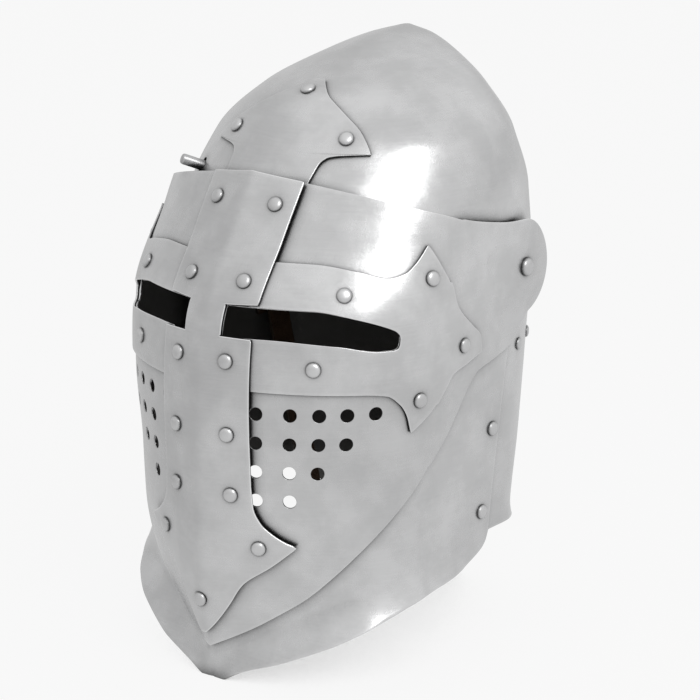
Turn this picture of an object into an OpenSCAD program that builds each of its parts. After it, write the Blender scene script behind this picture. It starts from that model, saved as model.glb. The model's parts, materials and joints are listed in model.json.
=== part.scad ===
// Great bascinet: a steel helmet with a crown plate, a bevor that closes the chin and neck,
// and a pivoted face plate with sights and breaths, faced with a riveted cross.
// X runs to the wearer's left, Y to the back and Z up, in millimetres. The helmet stands upright
// on the low points of its front and back edges, and the middle plane is x = 0.

/* [Plates] */
// Thickness of every steel plate
plate_t = 1.6; // [1.2:0.1:2]
// Air between two plates that are riveted together
plate_gap = 0.35; // [0.3:0.05:0.5]

/* [Crown] */
// Height of the crown's apex over the ground
apex_z = 387; // [375:1:400]
// Half of the crown's width at the ears
crown_half = 107; // [105:0.5:108]
// Height of the brow edge of the face opening
brow_z = 293; // [285:1:300]
// Height of the back plate's edge beside the step
nape_z = 73; // [66:1:80]

/* [Face plate] */
// Half width of the face plate over its arms
visor_half = 112.4; // [112:0.1:114]
// Height of the pivots
pivot_z = 243; // [240:0.5:246]
// Distance of the pivots behind the origin
pivot_y = 62; // [60:0.5:63]
// Distance of the ears' middles behind the origin
ear_y0 = 56; // [55:0.5:57]
// Radius of the round ears
ear_r = 31; // [29:0.5:33]
// Distance of the ears' outer faces from the middle plane
ear_x = 109.9; // [109.8:0.1:110.6]

/* [Sights and breaths] */
// Height of the sights' upper edge near the nose
sight_top = 247; // [244:0.5:250]
// Height of the sights' lower edge near the nose
sight_low = 228.5; // [226:0.5:232]
// Diameter of a breath
breath_d = 9; // [7:0.5:10]
// Spacing of the rows of breaths
breath_row = 18.5; // [17:0.5:20]
// Height of the top row of breaths
breath_z = 183; // [181:0.5:185]

/* [Rivets] */
// Diameter of a rivet's head
head_d = 9.5; // [8:0.5:10]
// Height of a rivet's head
head_h = 2.5; // [2:0.1:3]
// Diameter of a rivet's shank
shank_d = 4; // [3.5:0.1:4.5]
// Diameter of the pivots' shank
pivot_d = 6; // [5:0.5:7]

/* [Visor lock] */
// Diameter of the spring stud
stud_d = 7; // [6:0.5:8]
// Length of the stud outside the crown
stud_out = 14.5; // [12:0.5:16]
// Thickness of the leaf spring
leaf_t = 1.2; // [1:0.1:1.6]

/* [Lining and straps] */
// Thickness of the quilted cap
cap_t = 7; // [5:0.5:8]
// Width of the chin straps
strap_w = 20; // [16:1:24]
// Thickness of the leather
leather_t = 2.4; // [2:0.1:3]
// Length of the strap that carries the buckle
strap_short = 62; // [50:1:70]
// Length of the strap with the holes
strap_long = 165; // [120:1:172]
// Thickness of the buckle's wire
wire_d = 3; // [2.5:0.1:3.5]

/* [Stand] */
// Height of the front and back points, which rest on the ground, in the sections' own frame
foot_z = 4; // [3:0.5:5]

/* [Hidden] */
$fn = 40;

// Smooth value of column c of table t at the place z in column 0, with no overshoot
function seg(t, z, i = 0) = i >= len(t) - 2 || z < t[i + 1][0] ? i : seg(t, z, i + 1);
function slope(t, c, i) = (t[i + 1][c] - t[i][c]) / (t[i + 1][0] - t[i][0]);
function tang(t, c, i) = i == 0 ? slope(t, c, 0) : i == len(t) - 1 ? slope(t, c, i - 1)
    : let (a = slope(t, c, i - 1), b = slope(t, c, i)) a * b <= 0 ? 0 : 2 * a * b / (a + b);
function at(t, c, z) = let (i = seg(t, z), h = t[i + 1][0] - t[i][0], s = (z - t[i][0]) / h)
    s < 0 ? t[0][c] + (z - t[0][0]) * slope(t, c, 0)
    : (2 * s * s * s - 3 * s * s + 1) * t[i][c] + (s * s * s - 2 * s * s + s) * h * tang(t, c, i)
    + (3 * s * s - 2 * s * s * s) * t[i + 1][c] + (s * s * s - s * s) * h * tang(t, c, i + 1);
function line(t, q) = let (i = seg(t, q)) t[i][1] + (q - t[i][0]) * slope(t, 1, i);
function step(s) = let (k = min(1, max(0, s))) k * k * (3 - 2 * k);
function unit(v) = v / norm(v);
function swap(v) = [for (i = [len(v) - 1:-1:0]) v[i]];
function both(v) = concat([for (q = swap(v)) -q], [0], v);

// Sections of the crown: height, half width, front, back and widest place.
// The crown's back is a fuller curve than its front.
CROWN = [[0, crown_half - 6, -125, 97, 30], [35, crown_half - 3.5, -125, 89, 30],
    [70, crown_half - 2, -125, 89, 30], [130, crown_half - 0.5, -122, 106, 30],
    [190, crown_half, -118, 121, 30], [245, crown_half, -106, 133, 30],
    [290, crown_half - 0.5, -83, 130, 26], [328, crown_half - 9, -52, 113, 38],
    [356, crown_half - 35.5, -24, 104, 58], [373, crown_half - 64, 28, 101, 73],
    [382, crown_half - 85, 57, 98, 82], [apex_z, 3, 83, 91, 87]];
full = 2.6;
function crown_pt(t, z, lip = 0) = let (a = at(CROWN, 1, z), f = at(CROWN, 2, z),
    b = at(CROWN, 3, z), c = at(CROWN, 4, z), e = cos(t) > 0 ? 1 : 2 / full)
    [(a + lip) * sign(sin(t)) * pow(abs(sin(t)), e),
     cos(t) > 0 ? c - (c - f) * cos(t) : c + (b + lip - c) * pow(abs(cos(t)), e), z];

// Sections of the face plate: height, half width, widest place, depth of the keel and its ridge
VISOR = [[25, 108, -53, 28, -136], [83, 107.5, -50, 22, -140], [133, 107.5, -46, 14, -136.5],
    [183, visor_half - 1, -44, 11, -134], [233, visor_half, -38, 9.5, -127],
    [283, visor_half - 1.2, -12, 12, -97], [322, visor_half - 5.5, 0, 13, -70]];
ear_end = ear_y0 + ear_r;
function keel_pt(t, w, z, half, y_end) = let (a = at(t, 1, z), c = at(t, 2, z), k = at(t, 3, z),
    f = at(t, 4, z), g = 90 * min(w, 1))
    [w <= 1 ? a * sin(g) : a + (half - a) * step((w - 1) * 2.2),
     w <= 1 ? c - (c - k - f) * cos(g) - k * pow(1 - sin(g), 2) : c + (y_end - c) * (w - 1), z];
function visor_pt(q, z) = let (p = keel_pt(VISOR, abs(q), z, max(visor_half - 1, at(VISOR, 1, z)),
    ear_end), r = norm([p[1] - ear_y0, z - pivot_z]), k = step((r - ear_r - 2) / 18))
    [(q < 0 ? -1 : 1) * (abs(q) > 1 ? ear_x + (p[0] - ear_x) * k : p[0]), p[1], z];

// Sections of the bevor, the same way, down to the collar's flare
BEVOR = [[0, 101, -56, 20, -130], [35, 105.4, -54, 26, -132], [60, 105.2, -53, 25, -133.4], [88, 104.4, -50, 20.5, -135],
    [133, 104, -46, 13, -132], [190, 105.5, -42, 11, -129]];
COLLAR_OUT = [[0, 3.8], [0.12, 11], [0.25, 15.6], [0.4, 16.4], [0.55, 13.4], [0.7, 8.5], [0.85, 6.5], [1, 6],
    [1.25, 5.5], [1.5, 5], [1.75, 0], [2, 0]];
collar_h = 26;
function bevor_side(z) = at(CROWN, 1, z) + plate_gap + plate_t;
function bevor_end(z) = 20 + 20 * pow(max(0, z - 76) / 111, 1.2);
function bevor_pt(q, z) = let (lo = bevor_low(abs(q)), s = min(1, max(0, (z - lo) / collar_h)),
    p = keel_pt(BEVOR, abs(q), z, bevor_side(z), bevor_end(z)), w = min(1, abs(q)),
    out = line(COLLAR_OUT, min(2, abs(q))) * pow(1 - s, 2),
    d = unit([sin(90 * w) + 0.25, -cos(90 * w) - 0.01]))
    [(q < 0 ? -1 : 1) * (p[0] + out * d[0] * min(1, abs(q) * 8)), p[1] + out * d[1], z];

function normal(p_du, p_dv) = unit(cross(p_du, p_dv));
function visor_n(q, z) = q == 0 ? unit([0, -1, (visor_pt(0, z + 1)[1] - visor_pt(0, z - 1)[1]) / 2])
    : normal(visor_pt(q + 0.002, z) - visor_pt(q - 0.002, z), visor_pt(q, z + 1) - visor_pt(q, z - 1));
function visor_off(q, z, d) = visor_pt(q, z) + visor_n(q, z) * d;
function crown_n(t, z) = normal(crown_pt(t + 0.3, z) - crown_pt(t - 0.3, z),
    crown_pt(t, z + 0.5) - crown_pt(t, z - 0.5));
function crown_off(t, z, d) = crown_pt(t, z) + crown_n(t, z) * d;
function bevor_n(q, z) = normal(bevor_pt(q + 0.002, z) - bevor_pt(q - 0.002, z),
    bevor_pt(q, z + 1) - bevor_pt(q, z - 1));

// A sheet between two grids of points: out and in, row by row; keep tells which cells it has
module sheet(out, in, keep, wrap = false, cap = []) {
    n = len(out);
    m = len(out[0]);
    last = wrap ? m - 1 : m - 2;
    k = n * m;
    function id(i, j) = i * m + (wrap ? j % m : j);
    function has(i, j) = i >= 0 && i < n - 1 && (wrap || (j >= 0 && j < m - 1))
        && keep(i, wrap ? (j + m) % m : j);
    function wall(a, b) = [[a, b, b + k], [a, b + k, a + k]];
    pts = [for (r = out) each r];
    tris = [for (i = [0:n - 2], j = [0:last]) if (has(i, j))
        let (a = id(i, j), b = id(i, j + 1), c = id(i + 1, j + 1), d = id(i + 1, j))
        each concat(norm(pts[a] - pts[c]) < norm(pts[b] - pts[d])
                ? [[a, d, c], [a, c, b], [a + k, b + k, c + k], [a + k, c + k, d + k]]
                : [[a, d, b], [b, d, c], [a + k, b + k, d + k], [b + k, c + k, d + k]],
            has(i - 1, j) ? [] : wall(a, b), has(i, j + 1) ? [] : wall(b, c),
            has(i + 1, j) || (i == n - 2 && len(cap) > 0) ? [] : wall(c, d),
            has(i, j - 1) ? [] : wall(d, a))];
    top = len(cap) == 0 ? [] : [for (j = [0:last]) let (a = id(n - 1, j), b = id(n - 1, j + 1))
        each [[a, 2 * k, b], [a + k, b + k, 2 * k + 1]]];
    polyhedron(concat(pts, [for (r = in) each r], cap), concat(tris, top));
}
function all_cells() = function (i, j) true;

// Children set on a surface point p, with +Z along the outward direction n
module on(p, n) {
    translate(p) rotate([0, acos(n[2]), atan2(n[1], n[0])]) children();
}
// A domed rivet through plates of thickness grip; z = 0 is the outer plate's face
module rivet(grip, d = head_d, h = head_h, s = shank_d) {
    rise = 0.18;
    rotate_extrude() polygon([[0, -grip - 1.5], [s * 0.85, -grip - 1.5], [s * 0.85, -grip - 0.7],
        [s / 2, -grip - 0.45], [s / 2, rise], [d / 2, rise], [d / 2, rise + h * 0.2],
        [d * 0.46, rise + h * 0.5], [d * 0.35, rise + h * 0.8], [d * 0.19, rise + h * 0.96], [0, rise + h]]);
}
module bore(d, l = 16) {
    cylinder(d = d, h = l, center = true);
}
shank_fit = 0.15;

// Rows and columns of the face plate
SIGHT_IN = 0.07;
SIGHT_OUT = 0.76;
VISOR_Q = both([SIGHT_IN, 0.16, 0.25, 0.34, 0.43, 0.52, 0.61, 0.69, SIGHT_OUT, 0.84, 0.92, 1,
    1.12, 1.24, 1.36, 1.48, 1.6, 1.7, 1.79, 1.86, 1.91, 1.95, 1.98, 1.995]);
VISOR_TOP = [[0, 321], [0.19, 314], [0.35, 310], [0.62, 302], [0.92, 292], [1, 289], [1.37, 280],
    [1.6, 275.5], [1.75, pivot_z + ear_r]];
VISOR_LOW = [[0, 26], [0.06, 31], [0.16, 40], [0.26, 50.5], [0.37, 62.5], [0.48, 77], [0.6, 93],
    [0.77, 114], [0.93, 132], [1.1, 152], [1.2, 169], [1.29, 183], [1.36, 189.5], [1.47, 192],
    [1.62, 196.5], [1.75, 206], [1.82, pivot_z - ear_r + 1.2]];
function ear_y(q) = visor_pt(q, pivot_z)[1];
function ear_half(q) = sqrt(max(0.01, ear_r * ear_r - pow(ear_y(q) - ear_y0, 2)));
function visor_top(q) = let (w = abs(q)) w > 1.75 ? pivot_z + ear_half(q) : line(VISOR_TOP, w);
function visor_low(q) = let (w = abs(q)) w > 1.82 ? pivot_z - ear_half(q) : line(VISOR_LOW, w);
SIGHT_HI = [[0, sight_top], [0.38, sight_top - 1], [0.56, sight_top - 6], [0.7, sight_top - 12],
    [SIGHT_OUT, sight_top - 16], [2, sight_top - 10]];
SIGHT_LO = [[0, sight_low], [0.22, sight_low], [0.49, sight_low - 3], [0.68, sight_low - 7.5],
    [SIGHT_OUT, sight_low - 7.5], [2, sight_low + 9]];
function rows_between(lo, hi, q, n_low, n_mid, n_top) = let (a = lo, d = hi, h = d - a,
    w = min(abs(q), 2), b = min(max(line(SIGHT_LO, w), a + 0.2 * h), a + 0.62 * h),
    c = min(max(line(SIGHT_HI, w), b + 0.1 * h), a + 0.86 * h))
    concat([for (i = [0:n_low - 1]) a + (b - a) * i / n_low],
        [for (i = [0:n_mid - 1]) b + (c - b) * i / n_mid], [for (i = [0:n_top]) c + (d - c) * i / n_top]);
function in_sight(q0, q1) = let (m = abs(q0 + q1) / 2) m > SIGHT_IN && m < SIGHT_OUT;

// Places of the breaths on one side: column by column, with the number in each
BREATHS = [[0.207, 4], [0.331, 4], [0.439, 3], [0.548, 2], [0.668, 1]];
UPRIGHT_RIVETS = [[0.127, 300.5], [0.113, 259], [0.101, 214.5], [0.11, 169.5], [0.121, 131], [0.216, 97.5]];
ARM_RIVETS = [[0.483, 254], [0.86, 259.5], [1.2, 211], [0.885, 187.3], [0.412, 212]];
function pivot_hole() = [[-1, 1], [1, 1]];

module visor_bores() {
    for (s = [-1, 1]) {
        for (b = BREATHS, i = [0:b[1] - 1])
            on(visor_pt(s * b[0], breath_z - i * breath_row), visor_n(s * b[0], breath_z - i * breath_row))
                bore(breath_d);
        for (r = concat(UPRIGHT_RIVETS, ARM_RIVETS))
            on(visor_pt(s * r[0], r[1]), visor_n(s * r[0], r[1])) bore(shank_d + shank_fit);
        translate([s * ear_x, pivot_y, pivot_z]) rotate([0, 90, 0]) bore(pivot_d + 0.12);
    }
    on(visor_pt(0, tip_rivet_z), visor_n(0, tip_rivet_z)) bore(shank_d + shank_fit);
}
tip_rivet_z = 60.5;

module face_plate() {
    rows = [for (q = VISOR_Q) rows_between(visor_low(q), visor_top(q), q, 9, 2, 6)];
    n = len(rows[0]);
    m = len(VISOR_Q);
    cells = function (i, j) !(i >= 9 && i < 11 && in_sight(VISOR_Q[j], VISOR_Q[j + 1]));
    color("silver") difference() {
        sheet([for (i = [0:n - 1]) [for (j = [0:m - 1]) visor_pt(VISOR_Q[j], rows[j][i])]],
            [for (i = [0:n - 1]) [for (j = [0:m - 1]) visor_off(VISOR_Q[j], rows[j][i], -plate_t)]], cells);
        visor_bores();
    }
}

// The cross on the face plate: the upright rides over the inner ends of the arms
arm_lift = plate_gap;
upright_lift = arm_lift + plate_t + plate_gap;
UPRIGHT = [[38, 0.8], [47, 8], [58, 15.5], [73, 25], [86, 42], [98.5, 56], [101.5, 50], [105.5, 44.5],
    [113, 37.2], [123, 33], [137, 32], [sight_low - 0.7, 32], [sight_low, 12.6], [sight_top, 12.6],
    [sight_top + 0.7, 32.5], [322, 33.5]];
UPRIGHT_Z = [38, 42, 47, 52, 58, 65, 73, 79, 86, 92, 98.5, 101.5, 105.5, 109, 113, 118, 123, 130, 137, 152,
    167, 182, 197, 212, sight_low - 0.7, sight_low, 238, sight_top, sight_top + 0.7, 260, 272, 284, 296,
    305, 313, 320.5];
module cross_upright() {
    cols = [-1, -0.75, -0.5, -0.25, 0, 0.25, 0.5, 0.75, 1];
    function q_of(x, z) = asin(min(1, abs(x) / at(VISOR, 1, z))) / 90 * sign(x);
    function z_of(s, z) = z - step((z - 250) / 70) * 7.5 * abs(s);
    color("lightgray") difference() {
        sheet([for (z = UPRIGHT_Z) [for (s = cols) let (zz = z_of(s, z), q = q_of(s * line(UPRIGHT, z), zz))
                visor_off(q, zz, upright_lift + plate_t)]],
            [for (z = UPRIGHT_Z) [for (s = cols) let (zz = z_of(s, z), q = q_of(s * line(UPRIGHT, z), zz))
                visor_off(q, zz, upright_lift)]], all_cells());
        visor_bores();
    }
}

ARM_TOP = [[0.155, 270.5], [0.33, 270], [0.51, 266], [0.64, 262], [0.71, 264], [0.75, 270], [0.78, 278.5],
    [0.9, 265], [1.03, 251], [1.13, 236], [1.2, 228], [1.27, 221], [1.34, 213], [1.355, 206]];
ARM_LOW = [[0.155, 197.5], [0.6, 196], [0.71, 194], [0.78, 187], [0.815, 180], [0.845, 168], [0.92, 174],
    [1, 180.5], [1.08, 190], [1.125, 195.5], [1.24, 198.5], [1.355, 202]];
ARM_Q = [0.155, 0.24, 0.33, 0.42, 0.51, 0.6, 0.67, 0.71, SIGHT_OUT, 0.78, 0.815, 0.845, 0.9, 0.95, 1,
    1.04, 1.08, 1.13, 1.2, 1.27, 1.34, 1.355];
module cross_arm(s) {
    qs = s > 0 ? ARM_Q : [for (q = swap(ARM_Q)) -q];
    rows = [for (q = qs) rows_between(line(ARM_LOW, abs(q)), line(ARM_TOP, abs(q)), q, 3, 2, 3)];
    n = len(rows[0]);
    m = len(qs);
    cells = function (i, j) !(i >= 3 && i < 5 && abs(qs[j] + qs[j + 1]) / 2 < SIGHT_OUT);
    color("lightgray") difference() {
        sheet([for (i = [0:n - 1]) [for (j = [0:m - 1]) visor_off(qs[j], rows[j][i], arm_lift + plate_t)]],
            [for (i = [0:n - 1]) [for (j = [0:m - 1]) visor_off(qs[j], rows[j][i], arm_lift)]], cells);
        visor_bores();
    }
}
module cross_arm_left() { cross_arm(1); }
module cross_arm_right() { cross_arm(-1); }

module upright_rivets() {
    top = upright_lift + plate_t;
    color("gainsboro") {
        for (s = [-1, 1], r = UPRIGHT_RIVETS)
            on(visor_off(s * r[0], r[1], top), visor_n(s * r[0], r[1])) rivet(top + plate_t);
        on(visor_off(0, tip_rivet_z, top), visor_n(0, tip_rivet_z)) rivet(top + plate_t + 2);
    }
}
module arm_rivets(s) {
    top = arm_lift + plate_t;
    color("gainsboro") for (r = ARM_RIVETS)
        on(visor_off(s * r[0], r[1], top), visor_n(s * r[0], r[1])) rivet(top + plate_t);
}
module arm_rivets_left() { arm_rivets(1); }
module arm_rivets_right() { arm_rivets(-1); }

// Crown, open at the face, with a back plate that runs down to a tongue behind the neck
CROWN_T = [0, 7, 14, 21, 28, 35, 42, 48, 54, 60, 65, 69, 72.5, 76, 80, 86, 93, 100, 107, 114, 121, 128,
    134, 141, 148, 155, 163, 171.5];
function crown_low(t) = let (u = min(t, 360 - t))
    line([[0, brow_z], [42, brow_z], [48, brow_z - 4], [54, brow_z - 13], [60, brow_z - 33], [65, 225],
        [69, 175], [72.5, 120], [76, 88], [80, nape_z + 2], [107, nape_z], [122, nape_z - 2],
        [134, 62], [146, 42], [155, 22], [163, foot_z], [180.1, foot_z]], u);
CROWN_ALL = concat(CROWN_T, [180], [for (i = [len(CROWN_T) - 1:-1:1]) 360 - CROWN_T[i]]);
nape_out = 3.5;
function crown_lip(t, z) = let (u = min(t, 360 - t)) nape_out * step((u - 84) / 20)
    * pow(1 - min(1, max(0, (z - crown_low(t)) / 12)), 2);
stud_t = -41;
stud_z = 309.5;
BAND_RIVETS = [104, 123, 138, 152, 165, 176];
band_z = 191;
BEVOR_RIVETS = [[23, 144.5], [11.5, 91]];
BROW_RIVETS = [[27, 335.5], [-27, 335.5], [0, 359]];
module crown_bores() {
    for (r = BROW_RIVETS) on(crown_pt(r[0], r[1]), crown_n(r[0], r[1])) bore(shank_d + shank_fit);
    for (s = [-1, 1]) {
        for (t = BAND_RIVETS) on(crown_pt(s * t, band_z), crown_n(s * t, band_z)) bore(shank_d + shank_fit);
        for (r = BEVOR_RIVETS) translate([s * crown_half, r[0], r[1]]) rotate([0, 90, 0])
            bore(shank_d + shank_fit, 20);
        translate([s * 105, pivot_y, pivot_z]) rotate([0, 90, 0]) bore(pivot_d + 0.12, 20);
    }
    on(crown_pt(stud_t, stud_z), stud_dir) bore(stud_d + 0.5, 24);
    for (d = LEAF_RIVETS) on(leaf_at(d), crown_n(stud_t + d, leaf_z)) bore(2.8 + shank_fit, 14);
}
module crown() {
    m = len(CROWN_ALL);
    upper = [322, 332, 341, 350, 358, 366, 373, 379, 383];
    low_n = 12;
    n = low_n + len(upper);
    function z_of(t, i) = let (lo = crown_low(t)) i < 2 ? lo + 6 * i
        : i < low_n ? lo + 12 + (upper[0] - lo - 12) * (i - 2) / (low_n - 2) : upper[i - low_n];
    grid = function (d) [for (i = [0:n - 1]) [for (t = CROWN_ALL) let (z = z_of(t, i),
        p = crown_pt(t, z, crown_lip(t, z)) - crown_n(t, min(z, 383)) * d) i > 0 ? p : [p[0], p[1], z]]];
    color("silver") difference() {
        sheet(grid(0), grid(plate_t), all_cells(), true, [[0, 87, apex_z], [0, 87, apex_z - plate_t * 1.3]]);
        crown_bores();
    }
}

// The bevor, riveted over the crown's front edges
BEVOR_Q = both([0.05, 0.12, 0.2, 0.29, 0.38, 0.47, 0.56, 0.65, 0.74, 0.83, 0.92, 1, 1.12, 1.26, 1.4, 1.54,
    1.68, 1.8, 1.9, 2]);
function bevor_low(w) = line([[0, foot_z], [0.05, foot_z], [0.12, 12.7], [0.25, 22.1], [0.4, 32.8], [0.55, 42.1],
    [0.7, 49.5], [0.85, 54.9], [1, 57.6], [1.25, 58.9], [1.5, 62.2], [1.65, 68], [1.8, 75], [2, 75]], w);
function bevor_top(w) = line([[0, 104], [0.3, 106], [0.5, 114], [0.75, 142], [1, 170], [1.3, 196], [1.5, 203],
    [2, 204]], w);
// The bevor's outer face at the place r, given as [y, z]
function bevor_x(r) = let (c = at(BEVOR, 2, r[1])) bevor_pt(1 + (r[0] - c) / (bevor_end(r[1]) - c), r[1])[0];
module bevor_bores() {
    for (s = [-1, 1], r = BEVOR_RIVETS) translate([s * crown_half, r[0], r[1]])
        rotate([0, 90, 0]) bore(shank_d + shank_fit, 20);
}
module bevor() {
    n = 14;
    function z_of(q, i) = let (lo = bevor_low(abs(q)), hi = bevor_top(abs(q)))
        i < 4 ? lo + collar_h * i / 4 : lo + collar_h + (hi - lo - collar_h) * (i - 4) / (n - 5);
    grid = function (d) [for (i = [0:n - 1]) [for (q = BEVOR_Q) let (z = z_of(q, i),
        p = bevor_pt(q, z) - bevor_n(q, z) * d) i > 0 ? p : [p[0], p[1], z]]];
    color("silver") difference() {
        sheet(grid(0), grid(plate_t), all_cells());
        bevor_bores();
    }
}
module bevor_rivets(s) {
    color("gainsboro") for (r = BEVOR_RIVETS)
        translate([s * bevor_x(r), r[0], r[1]]) rotate([0, s * 90, 0]) rivet(2 * plate_t + plate_gap + 1.2);
}
module bevor_rivets_left() { bevor_rivets(1); }
module bevor_rivets_right() { bevor_rivets(-1); }

// The cross plate on the brow, riveted to the crown
BROW = [[303, 30], [315.5, 32], [322, 33], [325.5, 36], [327, 43], [327.6, 59], [333, 54.5], [340, 47],
    [347, 36], [352, 27], [356, 19], [360, 11], [363.5, 3]];
BROW_Z = [303, 309, 315.5, 322, 325.5, 327, 327.6, 333, 340, 347, 352, 356, 360, 363.5];
module brow_cross() {
    cols = [for (i = [-5:5]) i / 5];
    function t_of(x, z) = asin(min(1, abs(x) / at(CROWN, 1, z))) * sign(x);
    grid = function (d) [for (z = BROW_Z) [for (s = cols) let (t = t_of(s * line(BROW, z), z))
        crown_off(t, z, d)]];
    color("lightgray") difference() {
        sheet(grid(plate_gap + plate_t), grid(plate_gap), all_cells());
        crown_bores();
    }
}
module brow_rivets() {
    color("gainsboro") for (r = BROW_RIVETS)
        on(crown_off(r[0], r[1], plate_gap + plate_t), crown_n(r[0], r[1])) rivet(plate_gap + 2 * plate_t);
}

// The pivots: a headed rivet, a spacing washer between ear and crown, and its peened end
function crown_x(y, z) = let (c = at(CROWN, 4, z)) at(CROWN, 1, z)
    * pow(1 - pow((y - c) / (at(CROWN, 3, z) - c), full), 1 / full);
washer_d = 14;
crown_side = crown_x(pivot_y - washer_d / 2, pivot_z);
ear_in = ear_x - plate_t;
module pivot_rivet(s) {
    inner = crown_side - plate_t - 2;
    color("gainsboro") mirror([s < 0 ? 1 : 0, 0, 0]) translate([ear_x + 0.15, pivot_y, pivot_z])
        rotate([0, 90, 0]) rotate_extrude() polygon([[0, inner - ear_x - 2.6], [pivot_d * 0.8, inner - ear_x - 2.6],
            [pivot_d * 0.8, inner - ear_x - 1.2], [pivot_d / 2, inner - ear_x - 0.6], [pivot_d / 2, 0], [6, 0],
            [6, 0.8], [5.4, 2], [4, 3], [2, 3.6], [0, 3.8]]);
}
module pivot_rivet_left() { pivot_rivet(1); }
module pivot_rivet_right() { pivot_rivet(-1); }
module pivot_washer(s) {
    color("darkgoldenrod") translate([s * (crown_side + ear_in) / 2, pivot_y, pivot_z]) rotate([0, 90, 0])
        difference() {
            cylinder(d = washer_d, h = ear_in - crown_side - 0.5, center = true);
            bore(pivot_d + 0.3);
        }
}
module pivot_washer_left() { pivot_washer(1); }
module pivot_washer_right() { pivot_washer(-1); }

// Spring stud that holds the face plate shut, on a leaf inside the crown
stud_dir = unit([-0.6, -0.7, 0.38]);
leaf_z = stud_z - 2;
LEAF_RIVETS = [-27, -34];
stud_in = plate_t + leaf_t + 6.6;
function leaf_at(d) = crown_off(stud_t + d, leaf_z, 0);
module lock_spring() {
    steps = [for (d = [-38:3:5]) d];
    color("dimgray") difference() {
        union() {
            sheet([for (w = [-6, 6]) [for (d = steps) leaf_pt(d, w, 0)]],
                [for (w = [-6, 6]) [for (d = steps) leaf_pt(d, w, leaf_t)]], all_cells());
            on(crown_pt(stud_t, stud_z) - stud_dir * stud_in, stud_dir) {
                rotate_extrude() polygon([[0, 0], [stud_d / 2, 0], [stud_d / 2, stud_in + stud_out - 1.5],
                    [stud_d / 2 - 0.6, stud_in + stud_out - 0.4], [stud_d / 2 - 1.6, stud_in + stud_out],
                    [0, stud_in + stud_out]]);
                translate([0, 0, 1]) cylinder(d = stud_d + 3, h = 2.2);
            }
        }
        for (d = LEAF_RIVETS) on(leaf_at(d), crown_n(stud_t + d, leaf_z)) bore(2.8 + shank_fit, 14);
    }
}
leaf_gap = plate_gap + 0.45;
function leaf_drop(d) = plate_t + leaf_gap + (stud_in - leaf_t - 3.2) * step((d + 20) / 20);
function leaf_pt(d, w, t) = crown_off(stud_t + d, leaf_z + w, -leaf_drop(d) - t);
module lock_rivets() {
    color("gray") for (d = LEAF_RIVETS) on(leaf_at(d), crown_n(stud_t + d, leaf_z))
        rivet(plate_t + leaf_gap + leaf_t, 5.5, 1, 2.8);
}

// Quilted cap, a dome that stands off the crown
band_in = plate_t + 0.5 + leather_t;
cap_off = band_in + 0.4;
CAP = [[196, crown_half - cap_off, -90, 122 - cap_off, 30], [215, 97, -88, 118, 30], [245, 96, -84, 122, 30],
    [290, 95, -72, 117, 28], [320, 87, -40, 103, 36], [340, 71, -14, 93, 46], [352, 50, 8, 84, 50],
    [360, 20, 34, 66, 50]];
function cap_pt(t, z) = let (a = at(CAP, 1, z), f = at(CAP, 2, z), b = at(CAP, 3, z), c = at(CAP, 4, z),
    e = cos(t) > 0 ? 1 : 2 / full) [a * sign(sin(t)) * pow(abs(sin(t)), e),
    cos(t) > 0 ? c - (c - f) * cos(t) : c + (b - c) * pow(abs(cos(t)), e), z];
function cap_n(t, z) = normal(cap_pt(t + 0.5, z) - cap_pt(t - 0.5, z), cap_pt(t, z + 0.5) - cap_pt(t, z - 0.5));
function cap_low(t) = let (u = min(t, 360 - t))
    line([[0, brow_z + 33], [52, brow_z + 32], [60, brow_z + 8], [67, 262], [75, 226], [85, 208], [116, 207],
        [125, 197], [180.1, 197]], u);
module quilted_cap() {
    ts = [for (i = [0:21]) i * 360 / 22];
    n = 10;
    function z_of(t, i) = let (lo = cap_low(t)) lo + (359 - lo) * sin(90 * i / (n - 1));
    grid = function (d) [for (i = [0:n - 1]) [for (t = ts) let (z = z_of(t, i))
        cap_pt(t, z) - cap_n(t, min(z, 356)) * d]];
    color("linen") sheet(grid(0), grid(cap_t), all_cells(), true, [[0, 50, 362], [0, 50, 362 - cap_t]]);
}

// Leather band that carries the lining, riveted round the back of the crown
module liner_band() {
    ts = [for (i = [-14:14]) 180 + i * 5.9];
    skin = plate_t + 0.5;
    grid = function (d) [for (z = [band_z - 9, band_z, band_z + 9]) [for (t = ts) crown_off(t, z, -skin - d)]];
    color("saddlebrown") difference() {
        sheet(grid(0), grid(leather_t), all_cells());
        for (s = [-1, 1], t = BAND_RIVETS) on(crown_pt(s * t, band_z), crown_n(s * t, band_z))
            bore(shank_d + shank_fit);
    }
}
module liner_rivets() {
    color("gainsboro") for (s = [-1, 1], t = BAND_RIVETS) on(crown_pt(s * t, band_z), crown_n(s * t, band_z))
        rivet(t == BAND_RIVETS[0] ? strap_in + leather_t + 0.9 : band_in + 0.4, 8, 2, shank_d);
}

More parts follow.
